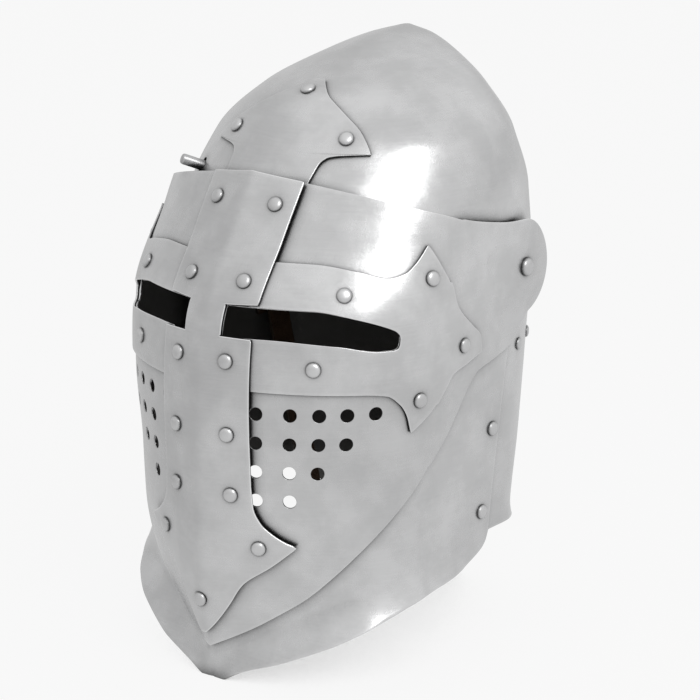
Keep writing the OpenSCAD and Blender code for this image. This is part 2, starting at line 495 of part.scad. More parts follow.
// Chin straps, hanging from the foremost rivets of the band
strap_lean = 11;
strap_in = band_in + strap_w * 0.2;
strap_top = crown_off(BAND_RIVETS[0], band_z, -strap_in);
module strap_frame() {
    translate(strap_top) rotate([0, 90 + strap_lean, 0]) children();
}
module strap_body(l) {
    hull() {
        translate([0, 0, -leather_t]) cylinder(d = strap_w, h = leather_t, $fn = 32);
        translate([l - strap_w / 2, -strap_w / 2, -leather_t]) cube([strap_w / 2, strap_w, leather_t]);
    }
}
prong_slot = 6;
bar_at = strap_short + wire_d / 2 + 0.3;
loop_in = wire_d + 0.16;
module chin_strap_left() {
    color("saddlebrown") difference() {
        strap_frame() difference() {
            union() {
                strap_body(strap_short - 1);
                translate([bar_at, 0, -leather_t / 2]) rotate([90, 0, 0])
                    cylinder(d = loop_in + 2 * leather_t, h = strap_w, center = true);
            }
            translate([bar_at, 0, -leather_t / 2]) rotate([90, 0, 0]) bore(loop_in, strap_w + 2);
            translate([bar_at - loop_in - prong_slot, -prong_w / 2 - 0.5, -10])
                cube([20 + prong_slot, prong_w + 1, 20]);
            bore(shank_d * 1.4);
        }
    }
}
module chin_strap_right() {
    color("saddlebrown") mirror([1, 0, 0]) strap_frame() difference() {
        union() {
            strap_body(strap_long - strap_w / 2);
            translate([strap_long - strap_w / 2, 0, -leather_t]) cylinder(d = strap_w, h = leather_t);
        }
        bore(shank_d * 1.4);
        for (i = [0:5]) translate([strap_long - 30 - i * 14, 0, 0]) bore(4);
    }
}
prong_w = 3;
frame_w = strap_w + 4;
frame_l = 18;
module buckle_frame() {
    color("goldenrod") strap_frame() translate([bar_at, 0, -leather_t / 2]) {
        rotate([90, 0, 0]) cylinder(d = wire_d, h = frame_w + wire_d, center = true);
        translate([frame_l, 0, 0]) rotate([90, 0, 0]) cylinder(d = wire_d, h = frame_w + wire_d, center = true);
        for (s = [-1, 1]) translate([0, s * frame_w / 2, 0]) rotate([0, 90, 0]) cylinder(d = wire_d, h = frame_l);
    }
}
module buckle_prong() {
    r = wire_d / 2 + 0.08;
    color("goldenrod") strap_frame() translate([bar_at, 0, -leather_t / 2]) difference() {
        union() {
            rotate([90, 0, 0]) cylinder(r = r + 1.5, h = prong_w - 0.4, center = true);
            translate([0, -prong_w / 2 + 0.2, -wire_d / 2 - 1.9]) cube([frame_l + 2, prong_w - 0.4, 1.6]);
        }
        rotate([90, 0, 0]) bore(2 * r, 8);
        translate([frame_l, 0, 0]) rotate([90, 0, 0]) bore(wire_d + 0.3, 8);
    }
}
module buckle_keeper() {
    w = strap_w + 1;
    color("saddlebrown") strap_frame() translate([strap_short - 26, 0, -leather_t / 2]) difference() {
        cube([9, w + 3, leather_t + 6.6], center = true);
        cube([12, w, leather_t + 3.6], center = true);
    }
}

// The finished part stands on z = 0, with its length centred on y = 0
y_front = visor_off(0, tip_rivet_z, upright_lift + plate_t + head_h + 0.18)[1];
y_back = max([for (z = [230:2:290]) at(CROWN, 3, z)]);
module stand() {
    translate([0, -(y_front + y_back) / 2, -foot_z]) children();
}
stand() crown();
stand() bevor();
stand() brow_cross();
stand() brow_rivets();
stand() bevor_rivets_left();
stand() bevor_rivets_right();
stand() face_plate();
stand() cross_upright();
stand() upright_rivets();
stand() cross_arm_left();
stand() cross_arm_right();
stand() arm_rivets_left();
stand() arm_rivets_right();
stand() pivot_rivet_left();
stand() pivot_rivet_right();
stand() pivot_washer_left();
stand() pivot_washer_right();
stand() lock_spring();
stand() lock_rivets();
stand() quilted_cap();
stand() liner_band();
stand() liner_rivets();
stand() chin_strap_left();
stand() chin_strap_right();
stand() buckle_frame();
stand() buckle_prong();
stand() buckle_keeper();
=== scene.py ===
# %% [markdown]
# # A great bascinet of polished steel
# A great bascinet is a one-piece crown with a bevor for chin and neck riveted to it, and a face
# plate that swings up on two pivots.  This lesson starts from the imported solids, which carry the
# sizes and the joints, and dresses them with smooth plates, rivets, leather, linen and light.
# Every plate is a formula of two numbers, so it could also be lofted by hand from a few drawn
# sections.  A formula is used here because the plates have to nest at a third of a millimetre.

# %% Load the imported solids
import json
import bpy
import numpy as np
from mathutils import Matrix, Vector

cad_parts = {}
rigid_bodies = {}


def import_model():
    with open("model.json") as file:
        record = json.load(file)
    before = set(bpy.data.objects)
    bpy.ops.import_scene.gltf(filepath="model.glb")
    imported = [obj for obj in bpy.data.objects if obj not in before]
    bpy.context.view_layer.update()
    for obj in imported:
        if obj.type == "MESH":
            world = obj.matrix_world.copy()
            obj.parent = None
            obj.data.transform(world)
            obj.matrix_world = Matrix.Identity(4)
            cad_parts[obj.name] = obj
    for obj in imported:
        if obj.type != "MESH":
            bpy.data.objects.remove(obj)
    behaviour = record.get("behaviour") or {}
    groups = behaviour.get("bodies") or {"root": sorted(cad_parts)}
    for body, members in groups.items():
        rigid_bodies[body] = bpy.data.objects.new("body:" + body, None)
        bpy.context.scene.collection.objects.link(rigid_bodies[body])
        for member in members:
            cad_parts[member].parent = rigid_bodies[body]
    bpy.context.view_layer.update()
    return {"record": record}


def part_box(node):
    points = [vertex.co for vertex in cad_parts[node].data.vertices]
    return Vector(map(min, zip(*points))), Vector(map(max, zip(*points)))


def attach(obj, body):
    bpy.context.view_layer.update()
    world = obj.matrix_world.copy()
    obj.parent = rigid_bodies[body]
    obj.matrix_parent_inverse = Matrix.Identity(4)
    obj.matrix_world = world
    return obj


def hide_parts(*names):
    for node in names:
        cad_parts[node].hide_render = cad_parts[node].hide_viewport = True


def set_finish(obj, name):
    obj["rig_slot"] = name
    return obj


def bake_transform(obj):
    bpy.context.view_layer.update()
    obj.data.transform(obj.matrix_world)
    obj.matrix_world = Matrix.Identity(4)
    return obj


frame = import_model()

# %% [markdown]
# ## Putting arrays into a mesh
# Points are worked out in millimetres, in the frame of the helmet's own sections, and moved once
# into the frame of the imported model.  Rows of corner numbers become faces.  Each vertex also gets
# the normal that its formula gives, so that a polished plate reflects without facets.

# %% Mesh helpers
PIVOT = (62.0, 243.0)  # y and z of the pivots in the frame of the sections
pivot_low, pivot_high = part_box("pivot_rivet_left")
SHIFT = np.array([0.0, 500 * (pivot_low[1] + pivot_high[1]) - PIVOT[0],
                  500 * (pivot_low[2] + pivot_high[2]) - PIVOT[1]])
print("the sections' frame is moved by", SHIFT.round(3), "mm")


def unit(v):
    """Vectors of length one: v divided by its length."""
    return v / np.maximum(np.linalg.norm(v, axis=-1, keepdims=True), 1e-12)


def put_mesh(name, body, points, faces, normals=None, slot=None, hides=(), uv=None, **marks):
    """Makes one smooth object. faces is a list of arrays, each with rows of as many corners.
    marks are point attributes, such as rim, that a material can read; uv is one pair a corner.
    A piece that bends between two bodies is given no body here."""
    mesh = bpy.data.meshes.new(name)
    mesh.vertices.add(len(points))
    mesh.vertices.foreach_set("co", ((points + SHIFT) * 0.001).astype(np.float32).ravel())
    width = np.concatenate([np.full(len(f), f.shape[1]) for f in faces])
    corners = np.concatenate([f.ravel() for f in faces])
    mesh.loops.add(len(corners))
    mesh.loops.foreach_set("vertex_index", corners.astype(np.int32))
    mesh.polygons.add(len(width))
    first = np.concatenate([[0], np.cumsum(width)[:-1]])
    mesh.polygons.foreach_set("loop_start", first.astype(np.int32))
    mesh.update(calc_edges=True)
    mesh.polygons.foreach_set("use_smooth", np.ones(len(width), bool))
    for mark, value in marks.items():
        mesh.attributes.new(mark, "FLOAT", "POINT").data.foreach_set("value", value.astype(np.float32))
    if uv is not None:
        mesh.uv_layers.new(name="cloth").uv.foreach_set("vector", uv.astype(np.float32).ravel())
    if normals is not None:
        mesh.normals_split_custom_set_from_vertices(unit(normals).tolist())
    piece = bpy.data.objects.new(name, mesh)
    bpy.context.scene.collection.objects.link(piece)
    if body:
        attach(piece, body)
    if hides:
        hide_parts(*hides)
    if slot:
        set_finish(piece, slot)
    print(f"{name}: {len(points)} vertices, {len(width)} faces,", "rides on " + body if body else "bends")
    return piece


def grid_faces(rows, cols, wrap=False, ring=False):
    """Corner numbers of the cells of a grid of rows x cols points. They face (along) x (up).
    wrap joins the last column to the first, and ring the last row to the first."""
    i, j = np.meshgrid(np.arange(rows if ring else rows - 1),
                       np.arange(cols if wrap else cols - 1), indexing="ij")
    k, m = (j + 1) % cols, (i + 1) % rows
    return np.stack([i * cols + j, i * cols + k, m * cols + k, m * cols + j], -1)


def square_loop(number, i0, i1, j0, j1):
    """The corners round a block of cells, from row i0 to i1 and from column j0 to j1, in order."""
    return np.concatenate([number[i0, j0:j1], number[i0:i1, j1],
                           number[i1, j1:j0:-1], number[i1:i0:-1, j0]])


def round_hole(loop, flat, centre, radius, first):
    """Four rings that lead from a square loop of corners, drawn flat, to a round hole.
    A ring's distance from the centre goes in equal steps from the square's to the radius.
    The rings' own corners are numbered from first on."""
    far = np.hypot(*(flat - centre).T)
    rings = far + (radius - far) * np.linspace(0, 1, 5)[1:, None]
    points = centre + (flat - centre) / far[:, None] * rings[..., None]
    ring = np.concatenate([loop[None], first + np.arange(rings.size).reshape(rings.shape)])
    turn = np.roll(ring, -1, 1)
    return points.reshape(-1, 2), np.stack([ring[:-1], turn[:-1], turn[1:], ring[1:]], -1).reshape(-1, 4)


# %% [markdown]
# ## A sheet of steel with rounded edges
# A real plate is cut, its edges are filed and it is polished, so an edge is a narrow round lip
# that catches the light.  A Bevel modifier could do it, but it stops where cells get narrow.
# Here the wall is part of the formula: it follows half a flattened oval from skin to skin, and
# the rim attribute marks it for a painted highlight.  The wall of a drilled hole has the same
# form, but it gets no painted highlight.

# %% Sheets and plates
GROUND = 4.0      # height of the ground in the frame of the sections
PAINTED_EDGE_HIGHLIGHT = 0.2  # how much of the painted edge highlight reaches on to the two skins


def sheet(name, body, skin, normals, cells, thick, slot, hides=(), proud=0.3, lid=None, drilled=None):
    """A sheet: outer skin, inner skin a thickness further in, and a wall round every open edge.
    A lid is a small ring of corners at a pole, which is closed in both skins. drilled tells the
    corners that lie round a drilled hole, whose wall gets no painted highlight.
    An edge runs from a to b with the sheet on its left; outwards is (b - a) x normal.
    The wall is out = proud * sin(s)^0.6 and depth = thick / 2 * (1 - cos(s)^0.6), s = 0 to 180."""
    n = len(skin)
    a, b = cells.ravel(), np.roll(cells, -1, 1).ravel()
    _, back, count = np.unique(np.stack([np.minimum(a, b), np.maximum(a, b)], 1), axis=0,
                               return_inverse=True, return_counts=True)
    lone = count[back.ravel()] == 1
    if lid is not None:
        lone &= ~(np.isin(a, lid) & np.isin(b, lid))
    a, b = a[lone], b[lone]
    after, before = np.zeros(n, int), np.zeros(n, int)
    after[a], before[b] = b, a
    edge = np.unique(a)
    outward = unit(np.cross(skin[after[edge]] - skin[before[edge]], normals[edge]))
    s = np.linspace(0, np.pi, 9)[1:-1, None, None]
    lip = proud * np.sin(s) ** 0.6
    deep = thick / 2 * (1 - np.sign(np.cos(s)) * np.abs(np.cos(s)) ** 0.6)
    wall = skin[edge] + outward * lip - normals[edge] * deep
    wall[..., 2] = np.maximum(wall[..., 2], GROUND)
    wall_n = normals[edge] * np.cos(s) + outward * np.sin(s)
    place = np.zeros(n, int)
    place[edge] = np.arange(len(edge))
    ring = [edge] + [2 * n + k * len(edge) + np.arange(len(edge)) for k in range(len(s))] + [n + edge]
    walls = [np.stack([p[place[b]], p[place[a]], q[place[a]], q[place[b]]], 1)
             for p, q in zip(ring[:-1], ring[1:])]
    # rim marks the filed edges, fully on their walls and partly on the skins beside them: the steel paints
    # a highlight there, the leather a darker cut edge
    rim = np.zeros(2 * n + wall.shape[0] * wall.shape[1])
    filed = np.ones(len(edge)) if drilled is None else 1.0 - drilled[edge]
    rim[2 * n:] = np.tile(filed, wall.shape[0])
    rim[edge] = rim[n + edge] = PAINTED_EDGE_HIGHLIGHT * filed
    back_skin = skin - normals * thick
    back_skin[:, 2] = np.maximum(back_skin[:, 2], GROUND)
    lids = [] if lid is None else [lid[None], lid[None, ::-1] + n]
    piece = put_mesh(name, body, np.concatenate([skin, back_skin, wall.reshape(-1, 3)]),
                     [cells, cells[:, ::-1] + n] + walls + lids,
                     np.concatenate([normals, -normals, wall_n.reshape(-1, 3)]), slot, hides, rim=rim)
    inside = np.zeros(len(piece.data.polygons), np.int32)
    inside[len(cells):2 * len(cells)] = 1
    piece.data.polygons.foreach_set("material_index", inside)
    return piece


def normal_of(surface, u, v, du, dv):
    """Outward normal of a surface at (u, v): the cross product of its two slopes."""
    return unit(np.cross(surface(u + du, v) - surface(u - du, v), surface(u, v + dv) - surface(u, v - dv)))


def smooth(table, column, z):
    """Smooth column of a table at z: cubics through the rows, with slopes that never overshoot.
    Below the first row it runs straight on."""
    t = np.array(table, float)
    x, y = t[:, 0], t[:, column]
    step = np.diff(y) / np.diff(x)
    left, right = step[:-1], step[1:]
    rising = left * right > 0
    mid = np.where(rising, 2 * left * right / np.where(rising, left + right, 1), 0)
    slope = np.concatenate([step[:1], mid, step[-1:]])
    i = np.clip(np.searchsorted(x, z, side="right") - 1, 0, len(x) - 2)
    h = x[i + 1] - x[i]
    s = (z - x[i]) / h
    inside = ((2 * s**3 - 3 * s**2 + 1) * y[i] + (s**3 - 2 * s**2 + s) * h * slope[i]
              + (3 * s**2 - 2 * s**3) * y[i + 1] + (s**3 - s**2) * h * slope[i + 1])
    return np.where(s < 0, y[0] + (z - x[0]) * step[0], inside)


def drawn(table, x, corners=()):
    """A drawn outline: smooth between its corners, and sharp at them."""
    t = np.array(table, float)
    cuts = [t[0, 0] - 1e9] + list(corners) + [t[-1, 0] + 1e9]
    out = np.interp(x, t[:, 0], t[:, 1])
    for low, high in zip(cuts[:-1], cuts[1:]):
        part = t[(t[:, 0] >= low - 1e-6) & (t[:, 0] <= high + 1e-6)]
        here = (x >= low) & (x <= high) & (x >= t[0, 0]) & (x <= t[-1, 0])
        if len(part) > 2:
            out = np.where(here, smooth(part, 1, np.clip(x, part[0, 0], part[-1, 0])), out)
    return out


def ease(s):
    """From 0 to 1 with level ends: 3 s^2 - 2 s^3."""
    s = np.clip(s, 0, 1)
    return s * s * (3 - 2 * s)


def spread(*stops):
    """Numbers from stop to stop, given as value, steps, value, steps, ..., value."""
    values, counts = stops[0::2], stops[1::2]
    return np.concatenate([np.linspace(a, b, n, endpoint=False)
                           for a, b, n in zip(values[:-1], values[1:], counts)] + [[values[-1]]])


def mirrored(half):
    """Numbers that start at 0, and before them the same ones with a minus sign."""
    return np.concatenate([-half[:0:-1], half])


def banded(edges, counts):
    """Rows of heights between drawn edges: so many equal steps from each edge to the next."""
    steps = [low + (high - low) * np.linspace(0, 1, n, endpoint=False)[:, None]
             for low, high, n in zip(edges[:-1], edges[1:], counts)]
    return np.concatenate(steps + [edges[-1][None]])


def nearest(values, wanted):
    """Which of the values lies nearest to the one that is wanted."""
    return int(np.argmin(np.abs(values - wanted)))


# %% [markdown]
# ## The camera
# The camera stands where the photograph was taken from: about a metre and a half away, to the
# wearer's left and a little above, with a long lens.  Its focal length is 2200 pixels of a
# picture 700 pixels wide.  It is set first, so that each piece can be judged as it is made.

# %% Camera
PICTURE, FOCUS, SENSOR = 700, 2200, 36
camera = bpy.data.objects.new("camera", bpy.data.cameras.new("camera"))
bpy.context.scene.collection.objects.link(camera)
bpy.context.scene.camera = camera
camera.data.lens = SENSOR * FOCUS / PICTURE
camera.data.sensor_width = SENSOR
camera.data.clip_end = 50
axes = [[0.80126, -0.15781, 0.57713], [0.59785, 0.24929, -0.76186], [-0.02364, 0.95549, 0.29409]]
stand = Matrix(axes).to_4x4()
stand.translation = (0.8410, -1.0859, 0.6049)
camera.matrix_world = stand
print("camera at", [round(v, 3) for v in stand.translation])

# %% [markdown]
# ## The crown
# The crown is raised from one plate.  Its plan is a half ellipse at the front and a fuller curve
# at the back; both grow and shrink with height, and meet in a soft point behind the middle.
# The plate is cut away for the face, and its back runs down behind the neck.

# %% Crown
PLATE, GAP = 1.6, 0.35
SHOULDER, APEX_Y, APEX = 322, 87, 387.0
# rows of height, half width, front, back and the widest place's y
CROWN = [[0, 101, -125, 97, 30], [35, 103.5, -125, 89, 30], [70, 105, -125, 89, 30],
         [130, 106.5, -122, 106, 30], [190, 107, -118, 121, 30], [245, 107, -106, 133, 30],
         [290, 106.5, -83, 130, 26], [328, 98, -52, 113, 38], [356, 71.5, -24, 104, 58],
         [373, 43, 28, 101, 73], [382, 22, 57, 98, 82], [387, 3, 83, 91, 87]]


def crown_at(t, z, lip=0.0, table=CROWN):
    """Crown surface at the angle t from the front and height z: x = a sin(t), and
    y = c - (c - front) cos(t), or behind the widest place a curve of power 2.6."""
    a, front, back, c = (smooth(table, k, z) for k in (1, 2, 3, 4))
    sin, cos = np.sin(np.radians(t)), np.cos(np.radians(t))
    power = np.where(cos > 0, 1, 2 / 2.6)
    x = (a + lip) * np.sign(sin) * np.abs(sin) ** power
    y = np.where(cos > 0, c - (c - front) * cos, c + (back + lip - c) * np.abs(cos) ** power)
    return np.stack([x, y, z + 0 * x], -1)


# heights of the lower edge at angles from the front
CROWN_LOW = [[0, 293], [42, 293], [48, 289], [54, 280], [60, 260], [65, 225], [69, 175], [72.5, 120],
             [76, 88], [80, 75], [107, 73], [122, 71], [134, 62], [146, 48], [155, 27], [163, 13],
             [168.5, 4], [181, 4]]


def crown_edge(t):
    """Height of the crown's lower edge at the angle t."""
    return drawn(CROWN_LOW, np.abs(t), (42, 80, 168.5))


LIP, LIP_HIGH = 1.6, 12


def crown_lip(t, z):
    """How far the lower back edge is turned out: LIP (1 - s)^2, where s is the part of LIP_HIGH
    above the edge. It sets in over 20 degrees behind the bevor's end."""
    above = np.clip((z - crown_edge(t)) / LIP_HIGH, 0, 1)
    return LIP * ease((np.abs(t) - 84) / 20) * (1 - above) ** 2


def crown_flared(t, z):
    """The crown's surface with its lower back edge turned out."""
    return crown_at(t, z, crown_lip(t, z))


# rows from the lower edge up to the shoulder, then closer and closer ones up to the apex
t = mirrored(spread(0, 28, 42, 16, 54, 34, 80, 60, 180))[None, :-1]
side_rows = crown_edge(t) + (SHOULDER - crown_edge(t)) * spread(0, 8, 0.05, 62, 1)[:, None]
top_rows = SHOULDER + (APEX - SHOULDER) * (1 - (1 - spread(0, 44, 1)[1:, None]) ** 1.7)
z = np.concatenate([side_rows, top_rows + 0 * t])
t = t + 0 * z
rows, cols = z.shape
skin = crown_flared(t, z)
skin_n = normal_of(crown_flared, t, np.minimum(z, APEX - 0.4), 0.2, 0.2)
close = np.linspace(1, 0.04, 5)[1:, None, None]
tip, up = np.array([0, APEX_Y, APEX]), np.array([0, 0, 1.0])
skin = np.concatenate([skin, tip + (skin[-1] - tip) * close + [0, 0, 0.25] * (1 - close)])
skin_n = np.concatenate([skin_n, unit(skin_n[-1] * close + up * (1 - close) * 1.5)])
cells = grid_faces(len(skin), cols, wrap=True)
lid = np.arange(len(skin) * cols)[-cols:]

# %% The hole for the spring stud
STUD_T, STUD_Z, STUD_HOLE = -41, 309.5, 4.6
i0, i1 = (nearest(z[:rows // 2, cols // 2], STUD_Z + e) for e in (-6.5, 6.5))
j0, j1 = (nearest(t[0], STUD_T + e) for e in (-3.7, 3.7))
keep = np.ones(cells.shape[:2], bool)
keep[i0:i1, j0:j1] = False
loop = square_loop(np.arange(rows * cols).reshape(rows, cols), i0, i1, j0, j1)
here, beside = crown_at(STUD_T + np.array([0.0, 1.0]), STUD_Z)
degree = np.linalg.norm(beside - here)  # mm of steel in a degree of t
more, block = round_hole(loop, np.stack([t.ravel()[loop] * degree, z.ravel()[loop]], 1),
                         np.array([STUD_T * degree, STUD_Z + 0.3]), STUD_HOLE, lid[-1] + 1)
more_t, more_z = more[:, 0] / degree, more[:, 1]
skin = np.concatenate([skin.reshape(-1, 3), crown_at(more_t, more_z)])
skin_n = np.concatenate([skin_n.reshape(-1, 3), normal_of(crown_at, more_t, more_z, 0.2, 0.2)])
used, cells = np.unique(np.concatenate([cells[keep], block]), return_inverse=True)
sheet("crown_plate", "helmet", skin[used], skin_n[used], cells.reshape(-1, 4), PLATE, "steel",
      ["crown"], lid=np.searchsorted(used, lid), drilled=used > lid[-1])

# %% [markdown]
# ## The bevor and the face plate
# Both have a ridge in front, which a smith sets with a chisel-edged stake.  Seen from above, half
# a section is a quarter ellipse, from which a keel stands out towards the middle.  Further back
# the section runs straight: on the bevor along the crown's side, on the face plate to the ear.

# %% Keeled sections
RIDGE = 0.016  # how far in q the ridge is rounded


def keeled(table, q, z, half, end):
    """A keeled section. g = 90 |q|: x = a sin(g), y = c - (c - k - f) cos(g) - k (1 - sin(g))^2,
    where k is the keel's depth. In y, |q| is sqrt(q^2 + r^2) - r, which rounds the ridge.
    Past |q| = 1 the width eases to half, and y runs straight to end."""
    a, c, k, f = (smooth(table, n, z) for n in (1, 2, 3, 4))
    w = np.abs(q)
    g = np.radians(90 * np.minimum(w, 1))
    soft = np.radians(90 * np.minimum(np.sqrt(w * w + RIDGE ** 2) - RIDGE, 1))
    x = np.where(w <= 1, a * np.sin(g), a + (half - a) * ease((w - 1) * 2.2))
    y = np.where(w <= 1, c - (c - k - f) * np.cos(soft) - k * (1 - np.sin(soft)) ** 2,
                 c + (end - c) * (w - 1))
    return x, y


# rows of height, a, c, k and f
BEVOR = [[0, 101, -56, 20, -130], [35, 105.4, -54, 26, -132], [60, 105.2, -53, 25, -133.4],
         [88, 104.4, -50, 20.5, -135], [133, 104, -46, 13, -132], [190, 105.5, -42, 11, -129]]
BEVOR_LOW = [[0, 4], [0.05, 4], [0.12, 12.7], [0.25, 22.1], [0.4, 32.8], [0.55, 42.1], [0.7, 49.5],
             [0.85, 54.9], [1, 57.6], [1.25, 58.6], [1.4, 59.4], [1.5, 60.3], [1.6, 60.8], [1.7, 61.4],
             [1.8, 62.7], [1.9, 65.2], [1.96, 69], [2, 75]]
COLLAR_OUT = [[0, 3.8], [0.12, 11], [0.25, 15.6], [0.4, 16.4], [0.55, 13.4], [0.7, 8.5], [0.85, 6.5],
              [1, 6], [1.25, 5.5], [1.5, 4.2], [1.6, 2.6], [1.7, 1.2], [1.8, 0.4], [1.9, 0], [2, 0]]
COLLAR = 26
BEVOR_TOP = [[0, 104], [0.3, 106], [0.5, 114], [0.75, 142], [1, 170], [1.3, 196], [1.5, 203], [2, 204]]


def bevor_end(z):
    """Where the bevor's side plates end: y = 20 + 20 ((z - 76) / 111)^1.2 above z = 76."""
    return 20 + 20 * (np.maximum(0, z - 76) / 111) ** 1.2


def bevor_at(q, z):
    """The bevor: a keeled section, with a collar turned out by out (1 - s)^2 over its lowest 26 mm."""
    w = np.abs(q)
    side = smooth(CROWN, 1, z) + GAP + PLATE
    x, y = keeled(BEVOR, q, z, side, bevor_end(z))
    s = np.clip((z - drawn(BEVOR_LOW, w, (0.05,))) / COLLAR, 0, 1)
    out = drawn(COLLAR_OUT, w) * (1 - s) ** 2
    g = np.radians(90 * np.minimum(w, 1))
    d = unit(np.stack([np.sin(g) + 0.25, -np.cos(g) - 0.01], -1))
    x = x + out * d[..., 0] * np.minimum(1, w * 8)
    return np.stack([np.where(q < 0, -1, 1) * x, y + out * d[..., 1], z + 0 * x], -1)


VISOR = [[25, 108, -53, 28, -136], [83, 107.5, -50, 22, -140], [133, 107.5, -46, 14, -136.5],
         [183, 111.4, -44, 11, -134], [233, 112.4, -38, 9.5, -127], [283, 111.2, -12, 12, -97],
         [322, 106.9, 0, 13, -70]]
EAR_X, EAR_Y, EAR_R, VISOR_SIDE = 109.9, 56.0, 31.0, 111.4


def visor_at(q, z):
    """The face plate: a keeled section that eases, from 2 to 20 mm outside it, into a flat round
    ear. Its straight sides are at least VISOR_SIDE from the middle."""
    x, y = keeled(VISOR, q, z, np.maximum(VISOR_SIDE, smooth(VISOR, 1, z)), EAR_Y + EAR_R)
    k = ease((np.hypot(y - EAR_Y, z - PIVOT[1]) - EAR_R - 2) / 18)
    x = np.where(np.abs(q) > 1, EAR_X + (x - EAR_X) * k, x)
    return np.stack([np.where(q < 0, -1, 1) * x, y, z + 0 * x], -1)


def on_visor(q, z, lift):
    """Points that stand off the face plate by lift, and their normals."""
    n = normal_of(visor_at, q, z, 0.002, 0.5)
    return visor_at(q, z) + n * lift, n


# %% Bevor
q = mirrored(spread(0, 6, 0.05, 96, 1, 70, 1.8, 12, 2))[None, :]
low, high = drawn(BEVOR_LOW, np.abs(q), (0.05,)), drawn(BEVOR_TOP, np.abs(q))
collar_rows = low + COLLAR * spread(0, 18, 1)[:-1, None]
z = np.concatenate([collar_rows, low + COLLAR + (high - low - COLLAR) * spread(0, 56, 1)[:, None]])
q = q + 0 * z
skin, skin_n = bevor_at(q, z), normal_of(bevor_at, q, z, 0.002, 0.3)
sheet("bevor_plate", "helmet", skin.reshape(-1, 3), skin_n.reshape(-1, 3),
      grid_faces(*q.shape).reshape(-1, 4), PLATE, "steel", ["bevor"])

# %% [markdown]
# ## Sights and breaths
# The sights are long slots, and the breaths are drilled holes in rows.  A Boolean could cut them,
# and would leave slivers that show in polished steel.  Here the rows of the grid follow the
# sights' edges, and a square of cells at each breath gives way to rings that end in the hole.

# %% Outlines of the face plate
# heights of its edges at q, and the sights' upper and lower edges
VISOR_TOP = [[0, 317.7], [0.19, 314], [0.35, 310], [0.62, 302], [0.92, 292], [1, 289], [1.37, 280],
             [1.6, 275.5], [1.75, 274]]
VISOR_LOW = [[0, 26], [0.06, 31], [0.16, 40], [0.26, 50.5], [0.37, 62.5], [0.48, 77], [0.6, 93],
             [0.77, 114], [0.93, 132], [1.1, 152], [1.2, 169], [1.29, 183], [1.36, 189.5], [1.47, 192],
             [1.62, 196.5], [1.75, 206], [1.82, 213.2]]
SIGHT_HI = [[0, 247], [0.38, 246], [0.56, 241], [0.7, 235], [0.76, 231], [2, 237]]
SIGHT_LO = [[0, 228.5], [0.22, 228.5], [0.49, 225.5], [0.68, 221], [0.76, 221], [2, 237.5]]
SIGHT_IN, SIGHT_OUT = 0.07, 0.76
BREATHS = [(0.207, 4), (0.331, 4), (0.439, 3), (0.548, 2), (0.668, 1)]  # q, holes below each other
COLUMNS = [0.145, 0.269, 0.385, 0.4935, 0.608, 0.728]                   # grid lines between them
TOP_ROW, PITCH, BREATH = 183, 18.5, 4.5
ROWS = (TOP_ROW - 3.5 * PITCH, TOP_ROW + 0.5 * PITCH)


def ear_half(q):
    """Half height of the round ear at q: the square root of r^2 - (y - y0)^2."""
    y = visor_at(q, PIVOT[1] + 0 * q)[..., 1]
    return np.sqrt(np.maximum(0.01, EAR_R ** 2 - (y - EAR_Y) ** 2))


def visor_edges(q):
    """Heights of the face plate's lower and upper edge, and of the sights' edges between them."""
    w = np.abs(q)
    top = np.where(w > 1.75, PIVOT[1] + ear_half(q), drawn(VISOR_TOP, w, (1.75,)))
    low = np.where(w > 1.82, PIVOT[1] - ear_half(q), drawn(VISOR_LOW, w))
    return (low, *between(low, top, w), top)


def between(low, top, w):
    """The sights' edges, kept inside a plate that runs from low to top. Their outer corners are
    rounded over 0.03 in q by a quarter ellipse 3.2 mm high."""
    h = top - low
    sill = np.clip(drawn(SIGHT_LO, w, (SIGHT_OUT,)), low + 0.2 * h, low + 0.62 * h)
    brow = np.minimum(np.maximum(drawn(SIGHT_HI, w, (SIGHT_OUT,)), sill + 0.1 * h), low + 0.86 * h)
    corner = 3.2 * (1 - np.sqrt(1 - np.clip(1 - np.abs(w - SIGHT_OUT) / 0.03, 0, 1) ** 2))
    return sill + corner, brow - corner


# %% Face plate
SQUARE = 8  # cells along each side of the square round a breath
half = spread(0, 4, SIGHT_IN, 4, *[n for column in COLUMNS for n in (column, SQUARE)],
              SIGHT_OUT, 16, 1, 44, 1.75, 14, 1.9)
q1 = mirrored(np.concatenate([half, 2 - 0.1 * np.linspace(1, 0.05, 18)[1:] ** 2]))
low, sill, brow, high = visor_edges(q1)
h_low, h_sill, _, _ = visor_edges(np.clip(np.abs(q1), 0, COLUMNS[-1]))
parts = [(h - h_low) / (h_sill - h_low) for h in ROWS]
bands = [low, low + (sill - low) * parts[0], low + (sill - low) * parts[1], sill, brow, high]
counts = [36, 4 * SQUARE, 14, 8, 30]
z = banded(bands, counts)
q = q1 + 0 * z
rows, cols = z.shape
cells = grid_faces(rows, cols)
keep = np.ones(cells.shape[:2], bool)
mid = np.abs(q1[1:] + q1[:-1]) / 2
keep[sum(counts[:3]):sum(counts[:4]), (mid > SIGHT_IN) & (mid < SIGHT_OUT)] = False
number = np.arange(rows * cols).reshape(rows, cols)
points_q, points_z, blocks = [q.ravel()], [z.ravel()], []
count = rows * cols
